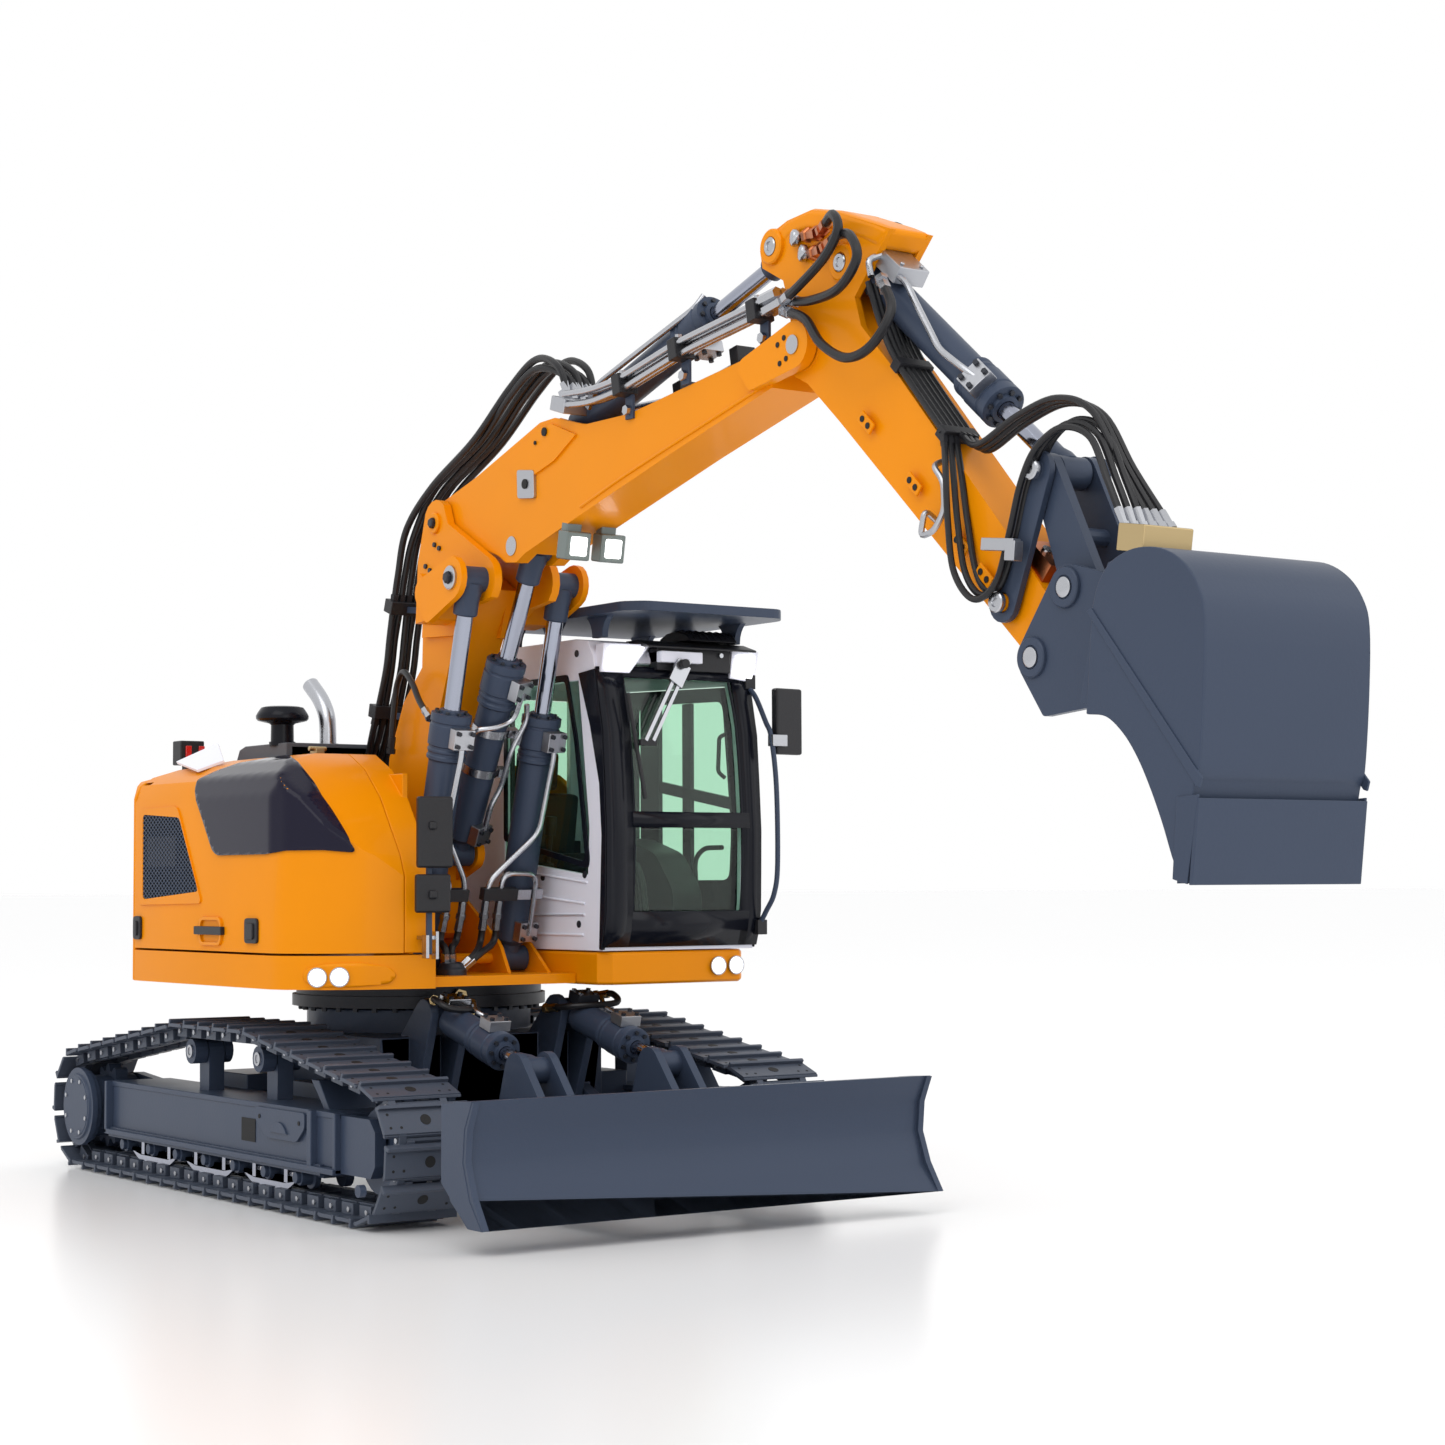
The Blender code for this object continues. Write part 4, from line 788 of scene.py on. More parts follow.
def make_blade_rams():
    for side, tag in SIDES:
        p, axis = make_ram("blade_cylinder_" + tag, side * BLADE_CYL_X, BLADE_CYL_BASE, BLADE_PIN, 5.6,
            6.5, 43, 2.4, 6, ("blade_barrel_" + tag, "blade_rod_" + tag), 0, collar=8)
        port = Batch("blade_port_" + tag, "blade_barrel_" + tag, "silver" if side < 0 else "dark", 0.25)
        up = Vector(p(0, 0, 1)) - Vector(p(0))
        up = up if up.z > 0 else -up
        base = Vector(p(7))
        port.cube(base + up * 6.8, (8.6, 7.4, 4), axis)
        port.done()
        heads = Batch("blade_port_screws_" + tag, "blade_barrel_" + tag, "dark" if side < 0 else "silver")
        screws(heads, base + up * 8.7, (1, 0, 0), axis, (3, 2.4), up, 0.95, 0.8)
        heads.done()
        Batch("blade_pipes_" + tag, "blade_barrel_" + tag, "silver").tube(rounded([Vector(p(t)) + up
            * rise + Vector((x, f, 0)) for t, rise, x, f in ((7, 7, 4.3, 0), (7, 7, 6.8, 1),
            (16, 6, 3, 0), (24, 4, 8.4, 0), (27, 2, 9.4, 0))], 2.5), 0.95).done()


# ------------------------------------------------------------------ house

def make_hood():
    # smoked window wrapping the hood's front corner
    window = [(-83.5, -14.5, 149), (-80, -8, 152.2), (-72, 10, 156), (-66, 20, 157.3), (-69.5, 34, 155.6),
        (-70.5, 46, 151.6), (-70.5, 55.6, 145.1), (-69.2, 64.9, 136), (-67, 70.4, 128.6),
        (-64.5, 74.5, 121.6), (-86.5, 50.6, 121.6), (-86.5, 9.1, 121.6), (-86.5, 4.9, 123.4),
        (-86.5, -3.6, 134.7), (-86.5, -12.5, 146)]
    decal("hood_window", "hood_right", "smoke", window, (0.82, -0.5, -0.28), ["hood_right"], 0.75, 1.3, 1,
        2.4)
    # grille: raised orange frame, a near-black plate of painted shade in the recess, and a woven mesh
    outer = soften([(-61, 139.8), (-26.1, 140.2), (-4.2, 104.4), (-60.6, 103.6)], 3)
    corners = [(-57.6, 137.7), (-24.2, 135.9), (-7, 108.7), (-57.2, 105.7)]
    inner = soften(corners, 2)
    Batch("grille_frame", "hood_right", "orange", 0.3).frame_plate(outer, inner, HOOD_SIDE - 0.7,
        HOOD_SIDE + 0.2).done()
    Batch("grille_back", "hood_right", "painted_shade").plate(inner, HOOD_SIDE - 0.1, HOOD_SIDE + 0.1).done()
    weave = Batch("grille_mesh", "hood_right", "steel")
    for slope in (MESH_SLOPE, -MESH_SLOPE):
        for step in range(100):
            level = 30 + MESH_PITCH * step
            hits = []
            for (f0, z0), (f1, z1) in zip(corners, corners[1:] + corners[:1]):
                d0, d1 = z0 - slope * (f0 + 30) - level, z1 - slope * (f1 + 30) - level
                if d0 * d1 < 0:
                    t = d0 / (d0 - d1)
                    hits.append((f0 + (f1 - f0) * t, z0 + (z1 - z0) * t))
            if len(hits) == 2 and math.dist(*hits) > 1.5:
                weave.rod((HOOD_SIDE - 0.35, *hits[0]), (HOOD_SIDE - 0.35, *hits[1]), 0.24, 4)
    weave.done()
    # darker box behind the mesh: painted shade
    Batch("grille_shade", "hood_right", "plastic", 0.3).box((HOOD_SIDE - 0.28, HOOD_SIDE), (-54, -28),
        (118, 129)).done()
    # latches and round handle
    black = Batch("hood_latches", "hood_right", "plastic", 0.35)
    for low, high in ((-65.4, -58.6), (32.6, 42.6)):
        black.plate(soften([(low, 90.6), (high, 90.6), (high, 99.4), (low, 99.4)], 1.6), HOOD_SIDE - 1.1,
            HOOD_SIDE)
        black.plate(soften([(low + 2, 92), (high - 2, 92), (high - 2, 97.6), (low + 2, 97.6)], 1),
            HOOD_SIDE - 1.8, HOOD_SIDE)
    black.box((HOOD_SIDE - 1.7, HOOD_SIDE), (-8.6, 14.6), (93.2, 96.2))
    black.done()
    Batch("hood_handle", "hood_right", "orange", 0.25).frame_plate(soften([(-5.8, 89.4), (13, 89.4),
        (13, 99.6), (-5.8, 99.6)], 3.4, 5), soften([(-4.6, 90.6), (11.8, 90.6), (11.8, 98.4),
        (-4.6, 98.4)], 2.6, 5), HOOD_SIDE - 1, HOOD_SIDE + 0.1).done()


def make_front_lamps():
    """Lamps in an oval recess on the right, and round lamps on the cab's side."""
    recess = [(-79.5, 64, 82.2), (-74, 69, 84), (-64, 75.5, 84.3), (-54.5, 78.6, 82.6), (-52, 79.4, 80),
        (-54.5, 78.6, 77), (-66, 74.5, 76), (-77, 66.5, 76), (-80, 63.5, 78.6)]
    decal("lamp_recess", "house", "orange", recess, (0.55, -0.83, 0), ["upper_frame"], 0.55, 1.5, 0.9, 2)
    lamps = (((-76.4, 67.7, 79.3), (-0.62, 0.78, 0)), ((-70.2, 71.9, 79.4), (-0.55, 0.83, 0)),
        ((69.6, 97.1, 80.9), (0, 1, 0)), ((77.6, 97, 81), (0, 1, 0)))
    rims = Batch("front_lamp_rims", "house", "silver")
    glow = Batch("front_lamps", "house", "lamp")
    for spot, way in lamps:
        far = Vector(spot) + Vector(way) * 20
        rims.lathe([(-1, 3.4), (1.2, 3.4), (1.2, 2.9), (0.6, 2.8), (-1, 2.8)], spot, far, 32)
        glow.lathe([(-1, 2.8), (0.9, 2.8), (1.3, 1.6), (1.4, 0.1)], spot, far, 32)
    finish(rims, glow)


def make_stacks():
    """Air intake and exhaust."""
    Batch("intake_stack", "house", "black").lathe([(0, 5), (1.6, 5), (1.6, 4.4), (8, 4.3), (8.6, 5),
        (9.2, 7.6), (9.6, 9.2), (10.3, 9.9), (11.4, 10), (12.6, 9.4), (13.8, 8.6), (14.6, 8), (15, 6.6),
        (15, 0.1)], (-42.5, -30.5, 163.6), (-42.5, -30.5, 220), 48).done("air_intake")
    pipe = Batch("exhaust_stack", "house", "silver")
    pipe.tube(curve_through([(-26, -25, 163), (-26, -25.2, 170), (-26, -26.5, 176), (-26.5, -30.5, 182),
        (-27.5, -37, 188)]), 3.2, 28)
    pipe.lathe([(0, 4), (1.2, 4), (1.2, 3.3)], (-26, -25, 163.5), (-26, -25, 180), 28)
    pipe.done("exhaust_pipe")
    # near-black disc inside the exhaust pipe's mouth: painted shade
    Batch("exhaust_bore", "house", "painted_shade").lathe([(0, 2.6), (0.35, 2.6)], (-27.5, -37, 188),
        (-28.5, -43.5, 194), 24).done()


def make_deck():
    """What sits on the engine deck and on the tail."""
    Batch("deck_details", "house", "deck", 0.4).plate([(-60, 158.5), (-64, 158.5), (-61, 163.2),
        (-56, 164.5), (-20, 164.5), (-20, 158.5)], -46, 30).done()
    Batch("deck_hinges", "house", "brass", 0.2).box((-47.5, -44), (3, 8), (159.2, 161)).rod((-49, 5, 161),
        (-42, 5, 161), 0.9, 10).done()
    Batch("rear_flap", "hood_right", "white", 0.2).sheet([[(-76, -51.3, 156.8), (-80, -23.6, 152.6)],
        [(-62, -44.5, 164), (-73, -15.6, 156)]]).done(thick=1.2)
    Batch("work_light", "house", "plastic", 0.5).box((-62, -52), (-88, -80), (158, 167.5)).box((-59, -55),
        (-86, -82), (150, 159)).done()
    red = Batch("tail_lights", "house", "red", 0.2)
    for x in (-60, -54.5):
        red.box((x, x + 2.4), (-80.2, -79.4), (160, 165.5))
    red.done()
    for side, tag in SIDES:
        low, high = span(side, 60, 72)
        decal("tail_light_" + tag, "house", "red", [(x, -120, z) for x,
            z in ((low, 92), (high, 92), (high, 97), (low, 97))], (0, 1, 0), ["counterweight"], 0.6, 1.5,
            0.9, 1.2)
    # the tail's slots are near-black boxes: painted shade
    slots = Batch("tail_slots", "house", "painted_shade", 0.2)
    for i in range(7):
        slots.box((-24, 24), (-111, -108.2), (112 + 4.6 * i, 114 + 4.6 * i))
    slots.done()
    Batch("handrails", "house", "dark").tube(rounded([(34, -60, 158), (34, -60, 170), (34, -30, 170),
        (34, -30, 158)], 4), 1.1).done()


def make_right_mirror():
    Batch("mirror_arm", "house", "steel", 0.25).cube((-44.6, 88.2, 110), (1.9, 1.5, 46), (0, 1, 0)).done()
    heads = Batch("mirror_heads", "house", "plastic", 0.9)
    heads.cube((-43.8, 90.6, 128.8), (12.6, 3.2, 24.5), (-0.22, 1, 0), (1, 0.22, 0))
    heads.cube((-44.3, 90.2, 107.8), (12.6, 3, 13.2), (-0.15, 1, 0), (1, 0.15, 0))
    heads.cube((-45.2, 91.6, 131), (3, 2.6, 3))
    heads.cube((-45, 91.6, 107.4), (3.2, 2.4, 3.2))
    heads.done("mirror_right")
    foot = Batch("mirror_bracket", "house", "silver", 0.2)
    foot.cube((-43.6, 85, 92.6), (4.6, 6.4, 1.4))
    foot.cube((-41.6, 87.2, 90), (1.2, 3.4, 9.6))
    foot.cube((-45.8, 88, 89.6), (1.2, 3.4, 8))
    foot.done()


# ------------------------------------------------------------------ cab

def make_cab_front():
    rounded_node("cab_shell", "house", "white", 0.8)
    for node in ("windscreen", "right_window", "rear_window"):
        repaint("glass", node)
    side = Batch("cab_corner", "house", "black", 0.3)
    side.plate([(82.9, 186.5), (90.7, 167.2), (96.7, 146.5), (98.2, 128), (96.5, 87.6), (98.2, 87.4),
        (100.7, 100), (101.3, 130), (98.8, 165), (93.8, 187.5)], 19, 20.6)
    side.plate([(88, 87.4), (97.6, 87.4), (100.7, 100), (101.3, 130), (98.8, 165), (93.8, 187.5),
        (88, 187.5)], 84.7, 86.2)
    side.done()
    # gloss black front frame round the windscreen
    front = [(88.6, 97.6), (94, 99.4), (101, 100.6), (115, 100.9), (130, 101.1), (148, 100), (165, 98.7),
        (180, 95.4), (188, 93.7)]
    face = Batch("cab_front_frame", "house", "black")
    right, middle, left = (19.2, 24, 30.2), (30.2, 55, 81), (77.8, 82, 86.2)
    for xs, rows in ((right, front), (left, front), (middle, front[:3]),
            (middle, ((130.8, 101.15), (136.4, 100.8))), (middle, ((184.6, 94.5), (188.6, 93.7)))):
        face.sheet([[(x, f + 0.1, z) for x in xs] for z, f in rows])
    face.done(thick=1)
    ridge = Batch("cab_front_ridge", "house", "black")
    ridge.tube(curve_through([(34.5, 99.2, 95.4), (73, 99.2, 95.4), (77.4, 100.6, 99), (78, 101.6, 128),
        (77.4, 99.2, 165), (76.6, 95, 184.5)]), 0.55, 8)
    ridge.tube(curve_through([(34.5, 99.2, 95.4), (31, 100.5, 99), (31, 101.6, 128), (30.6, 99.2, 165),
        (30.2, 95, 184.5)]), 0.55, 8)
    ridge.tube(curve_through([(24.5, 98.6, 90), (25, 101.5, 128), (24.6, 98.9, 165), (24, 94.5, 186)]),
        0.5, 8)
    ridge.done()


def make_cab_side():
    # right window surround
    ring = Batch("cab_side_window_frame", "house", "black", 0.15)
    outer = soften([(30, 186), (75.2, 186.5), (82, 163), (89.7, 119.6), (88.8, 116.2), (50, 122.8),
        (30, 127)], 1.6)
    inner = soften([(32.4, 183.6), (73.6, 184), (79.8, 162), (86.9, 120.8), (86.2, 118.9), (50, 125.2),
        (32.4, 129)], 1.6)
    ring.frame_plate(outer, inner, 19.2, 19.9)
    ring.done()
    # ribs and screws of the white panel
    ribs = Batch("cab_panel_ribs", "house", "white", 0.25)
    for a, b in (((46, 115.2), (87.9, 111.3)), ((46, 106.9), (86.2, 103.8)), ((47, 99.3), (86.2, 99.8)),
            ((42.6, 92.6), (85.3, 92.6))):
        ribs.rod((19.7, *a), (19.7, *b), 0.5, 8)
    ribs.done()
    dots = Batch("cab_panel_screws", "house", "dark")
    for f, z in ((81.1, 193.7), (57.5, 113.3), (86.2, 114.1), (50.4, 96.2), (82.3, 96.4), (28, 193)):
        dots.rod((19.9, f, z), (19.5, f, z), 1.3, 14)
    dots.done()


def make_cab_door():
    leaf = Batch("door_leaf", "cab_door", "black", 0.25)
    outline = soften([(16.4, 92.4), (89.6, 92.4), (91.6, 130), (85.7, 183.6), (16.4, 185.6)], 3)
    hole = soften([(22, 112), (85.5, 112), (86.8, 130), (81.4, 178.6), (22, 180)], 4)
    leaf.frame_plate(outline, hole, 83.3, 85.6)
    leaf.box((83.5, 85.4), (25.5, 38.5), (111, 181))
    leaf.box((83.5, 85.4), (54.5, 60), (112, 179))
    leaf.cube((84.4, 63, 144), (1.8, 48, 4.4), (0, 1, -0.16))
    leaf.box((85.4, 87.6), (22, 34), (134, 137))
    leaf.done("cab_door")
    Batch("door_glass", "cab_door", "glass").plate(hole, 84.3, 84.8).done()
    Batch("door_rail", "cab_door", "plastic").tube(rounded([(82.6, 84, 166), (80.2, 84, 165),
        (79.6, 84, 152), (82.6, 84, 150)], 1.5), 0.8, 8).done()


def make_cab_inside():
    seat = Batch("seat_pads", "house", "seat", 1.6)
    seat.cube((52, 24, 108), (28, 32, 8), (0, 1, 0.06))
    seat.cube((52, 4, 128), (27, 7, 36), (0, 1, -0.16))
    seat.cube((52, 0, 155), (17, 6, 15), (0, 1, -0.1))
    seat.cube((52, 22, 97), (22, 26, 14))
    for x in (33.5, 70.5):
        seat.cube((x, 24, 117), (6.5, 30, 4))
        seat.cube((x, 34, 106), (8, 16, 20))
    seat.done("operator_seat")
    rods = Batch("cab_controls", "house", "plastic", 0.3)
    for side in (-1, 1):
        rods.rod((52 + side * 18.5, 38, 119), (52 + side * 18.5, 40, 130), 1.2, 10)
        rods.rod((52 + side * 18.5, 40, 129), (52 + side * 18.5, 41, 136), 2.2, 12)
        rods.rod((52 + side * 6, 66, 91), (52 + side * 6, 61, 116), 0.9, 8)
        rods.rod((52 + side * 5, 72, 92), (52 + side * 5, 78, 97), 2.6, 10)
    rods.box((28, 34), (56, 74), (92, 122))
    rods.plate(soften([(30, 92), (74, 92), (74, 108), (62, 122), (40, 128), (30, 128)], 4), 66, 79)
    rods.tube(rounded([(80, 86, 124), (80, 74, 124), (80, 68, 120), (80, 69, 104)], 5), 1, 8)
    rods.tube(rounded([(52, 78, 92), (52, 74, 112), (52, 70, 118)], 3), 1.5)
    rods.done()
    # inner pillars that show through the glass
    pillars = Batch("cab_inner_pillars", "house", "plastic", 0.3)
    pillars.box((46, 50), (-16.5, -14), (91, 196))
    pillars.box((22.4, 24.4), (26, 30), (120, 190))
    pillars.box((24, 81), (-16.5, -14), (122, 128))
    pillars.box((24, 81), (-16.5, 88), (194, 195.4))
    pillars.done()


def make_cab_roof():
    """Fan hump, lamps, lip and guard, with the wiper that hangs from the lip."""
    hump = Batch("roof_fan", "house", "plastic", 0.4)
    hump.plate([(76, 199), (98, 199), (95, 201.4), (89, 203), (82, 202.6), (78, 201)], 58, 79)
    for x in range(60, 79, 3):
        hump.plate([(77, 199), (98, 199), (95, 202), (89, 203.7), (82, 203.2)], x, x + 1)
    hump.done()
    Batch("wiper_housing", "house", "plastic", 0.35).plate([(86, 198.6), (93.5, 198.6), (101.5, 196.2),
        (101.5, 195.4), (93, 196.4), (86, 197.2)], 37.5, 85).box((44, 76.4), (91, 97),
        (187.8, 196)).done()
    heads = Batch("wiper_bolts", "house", "silver")
    for x in (52.5, 62, 71.5):
        heads.rod((x, 97, 194), (x, 98.2, 194), 0.9, 8)
    heads.done()
    wiper = Batch("wiper_arms", "wiper", "silver", 0.1)
    for x in (43.6, 46.8):
        wiper.cube((x, 101.9, 176.6), (1.5, 0.9, 36), (0, 1, 0.16), (0.84, 0, -0.54))
    wiper.cube((51, 100.6, 186.4), (6.4, 1.6, 9), (0, 1, 0.16), (0.84, 0, -0.54))
    wiper.done()
    dark = Batch("wiper_blade", "wiper", "plastic", 0.1)
    dark.rod((28.6, 101, 178.6), (33.6, 104.6, 141), 0.8, 8)
    dark.cube((35.4, 103.6, 161), (7, 1.6, 2.2))
    dark.rod((52.6, 98.4, 190), (52.6, 103, 190), 1.7, 12)
    dark.done("wiper")
    lamps = Batch("roof_lamps", "house", "lamp", 0.2)
    lamps.plate([(23.6, 195), (38.6, 195.6), (31.8, 187.4), (21.8, 187.6)], 94.2, 97, "front")
    lamps.plate([(79.6, 194.6), (87.6, 194.6), (86, 186.2), (78, 187)], 94.2, 97, "front")
    lamps.done()
    cups = Batch("roof_lamp_frames", "house", "white", 0.2)
    cups.plate([(21.6, 196.6), (41.6, 196.9), (32.6, 186.2), (20.4, 186.2)], 91, 96.2, "front")
    cups.plate([(77.6, 196.2), (89.6, 196.2), (87.4, 184.8), (76.6, 186)], 91, 96.2, "front")
    cups.done()
    guard = Batch("roof_guard_plate", "house", "steel", 0.5)
    guard.plate(soften([(17.5, 20), (88.5, 20), (88.5, 112), (82, 120.5), (24, 120.5), (17.5, 114)], 3),
        206.4, 209.8, "top")
    for x in (24, 82):
        for f in (30, 58, 90):
            leg = [(f - 3.5, 199), (f + 3.5, 199), *arc((f + 11.5, 199.6), 8, 178, 100, 6), (f + 13, 208),
                (f - 13, 208), *arc((f - 11.5, 199.6), 8, 80, 2, 6)]
            guard.plate(leg, x - 1.3, x + 1.3)
    guard.done("roof_guard")


def make_left_mirror():
    Batch("mirror_rail", "house", "steel").tube(curve_through([(85, 93.5, 184), (86.4, 98, 180),
        (87.4, 103.5, 170), (87.8, 106.4, 164), (88.4, 108.6, 146), (88.6, 108.8, 118), (88, 107.4, 107),
        (86.8, 104, 100.5), (86.2, 101, 96)]), 0.95).done()
    Batch("mirror_joints", "house", "plastic", 0.2).box((83.6, 88), (91.5, 96.5),
        (182.4, 187.6)).box((84.2, 88.4), (97.5, 102.5), (92, 97.4)).done()
    Batch("mirror_clip", "house", "alloy", 0.2).cube((90.6, 106.6, 163), (6.6, 3.4, 4.2)).done()
    Batch("mirror_left_head", "house", "plastic", 0.8).cube((96.4, 104.4, 170.2), (12.8, 3.4, 24.4),
        (0.12, 1, 0), (1, -0.12, 0)).rod((90.6, 103.4, 163), (94, 103.4, 170), 1, 10).done("mirror_left")


# ------------------------------------------------------------------ boom, stick, bucket and blade

def twin_dots(batch, dots, spot, way, x):
    """A small keeper plate with two sunk screws, on a side face."""
    way = Vector((0, *way)).normalized()
    spot = Vector((x, *spot))
    batch.cube(spot - Vector((0.3, 0, 0)), (7.4, 3.6, 0.9), way.cross(Vector((1, 0, 0))), way)
    for t in (-1.7, 1.7):
        dots.rod(spot + way * t, spot + way * t - Vector((1, 0, 0)), 0.95, 14)


def pin_head(ring, bolt, spot, x, out, radius=4.2):
    """A pin's end: a turned washer with a hexagon bolt on it."""
    a, b = (x, *spot), (x + out * 10, *spot)
    ring.lathe([(0, radius), (0.9, radius), (1.2, radius * 0.9), (1.2, radius * 0.55),
        (0.8, radius * 0.5)], a, b, 28)
    bolt.lathe([(0.2, radius * 0.5), (2.2, radius * 0.5), (2.6, radius * 0.38)], a, b, 6)


def both_ends(batch, spot, reach, profile, sides):
    """The same turned profile at both ends of a pin through the boom group."""
    for out in (-1, 1):
        batch.lathe(profile, (BOOM_X + out * reach, *spot), (BOOM_X + out * 40, *spot), sides)


def make_boom_pipes(bolts):
    right, left = BOOM_X - BOOM_HALF, BOOM_X + BOOM_HALF
    # silver pipes clamped along the main boom's top edge
    pipes = Batch("boom_pipe_run", "boom_main", "silver")
    for i, x in enumerate((-23.2, -20.6)):
        lift = 0.4 * i
        pipes.tube(rounded([(x, 137 + 5 * i, 271.5 + lift), (x, 158, 269.4 + lift),
            (x, 177, 270.8 + lift), (x, 209.5, 277 + lift), (x, 252, 281.8 + lift),
            (x, 262, 283.4 + lift)], 7, 6), 1.15, 12)
        pipes.rod((x, 257, 282.6 + lift), (x, 265.5, 284 + lift), 2, 6)
    for i, x in enumerate((-24, -21.4)):
        pipes.tube(rounded([(x, 143 + 5 * i, 274.4), (x, 160, 273.2), (x, 177, 274.2), (x, 209.5, 280.4),
            (x, 252, 285.2), (x, 260, 286.4)], 7, 6), 1.1, 12)
        pipes.rod((x, 256, 285.8), (x, 264, 286.8), 1.9, 6)
    for i, x in enumerate((1, 3.4)):
        pipes.tube(rounded([(x, 140, 272), (x, 176, 270.6), (x, 209.5, 277), (x, 252, 281.8),
            (x, 262, 283.4)], 7, 6), 1.15, 12)
    pipes.done("boom_pipes")
    clamps = Batch("boom_pipe_clamps", "boom_main", "plastic", 0.3)
    posts = Batch("boom_pipe_posts", "boom_main", "steel", 0.2)
    for f, z in ((177, 270.9), (209.5, 277.2), (252, 282)):
        for x in (-21.9, 2.2):
            clamps.cube((x, f, z + 1.4), (7.4, 4.4, 6.8), (0, 1, 0.18))
        posts.box((right - 1, right + 0.1), (f - 2.2, f + 2.2), (z - 9.4, z))
        posts.box((left - 0.1, left + 1), (f - 2.2, f + 2.2), (z - 9.4, z))
        bolts.rod((right - 1, f, z - 6.6), (right - 2.6, f, z - 6.6), 1.7, 6)
        bolts.rod((-22.6, f, z + 4.4), (-22.6, f, z + 6.2), 1.3, 6)
    finish(clamps, posts)
    # the stick cylinder's own pipe, from its base to its head block
    feed = Batch("stick_cylinder_pipe", "stick_barrel", "silver")
    feed.tube(rounded([(-15, 146, 271.5), (-16.5, 152, 277), (-17, 172, 282.2), (-16.4, 200, 290.2),
        (-14, 206, 293.6), (-11.6, 207.6, 297.6)], 4, 6), 1, 12)
    feed.rod((-15, 145, 270.6), (-16.2, 150.4, 275.4), 1.8, 6)
    feed.done()
    # oil block at the boom's bend with the hoses that come over from behind
    Batch("boom_oil_block", "boom_main", "alloy", 0.4).cube((BOOM_X, 139.5, 271.4), (30, 9, 5),
        (0, 1, -0.3)).done()
    for x in (-20.5, -17.2, -14):
        bolts.rod((x, 138.5, 273.4), (x, 137, 276.4), 1.9, 6)


def make_boom_sides(bolts):
    """Holes, plate, weld seams and pin ends of the main boom."""
    right, left = BOOM_X - BOOM_HALF, BOOM_X + BOOM_HALF
    # the boom's holes are near-black discs: painted shade
    hole = Batch("boom_holes", "boom_main", "painted_shade")
    hole.rod((-20.3, 124.6, 264.6), (-20.75, 124.6, 264.6), 1.5, 18)
    hole.rod((-20.3, 118.6, 261.6), (-20.7, 118.6, 261.6), 0.7, 12)
    hole.rod((right - 1.2, 112.2, 248.2), (right - 1.75, 112.2, 248.2), 1.7, 18)
    for f, z in ((261.4, 271.6), (264.6, 273.2), (262.4, 265.8), (265.6, 266.8)):
        hole.rod((-21.8, f, z), (-22.35, f, z), 0.85, 14)
    hole.done()
    Batch("boom_side_plate", "boom_main", "alloy", 0.25).plate(soften([(106.4, 253.8), (117.4, 252.4),
        (117.8, 242.6), (106.8, 243.8)], 1.2), right - 1.3, right + 0.1).done()
    seam = Batch("boom_seams", "boom_main", "orange")
    for x in (right - 0.1, left + 0.1):
        seam.tube(curve_through([(x, 146, 236.4), (x, 176, 244.2), (x, 223, 255), (x, 252, 261.6),
            (x, 262, 263.8)], 6), 0.55, 8)
    for x in (right + 0.9, left - 0.9):
        seam.tube(curve_through([(x, 132, 268), (x, 148.7, 263.6), (x, 162, 263.2), (x, 176, 263.5),
            (x, 208, 267.2), (x, 250, 272)], 6), 0.5, 8)
    seam.done()
    bolts.rod((right + 0.5, *ADJUST_TOP), (right - 0.35, *ADJUST_TOP), 3.4, 28)
    for x, out in ((-22.1, -1), (3.1, 1)):
        bolts.rod((x - 0.3 * out, *STICK_PIN), (x + 0.45 * out, *STICK_PIN), 2.9, 28)


def make_boom_lamps():
    """The twin work lamps under the boom."""
    cups = Batch("boom_lamp_cups", "boom_main", "bezel", 0.6)
    glow = Batch("boom_lamps", "boom_main", "lamp", 0.6)
    for x in (-16.4, -2.6):
        cups.cube((x, 137, 224.6), (9.6, 6.4, 9.6), (0, 1, -0.18))
        cups.cube((x, 135.6, 230.6), (6, 4, 4), (0, 1, -0.18))
        glow.cube((x, 140.1, 224), (6.4, 1.2, 6.4), (0, 1, -0.18))
    finish(cups, glow)


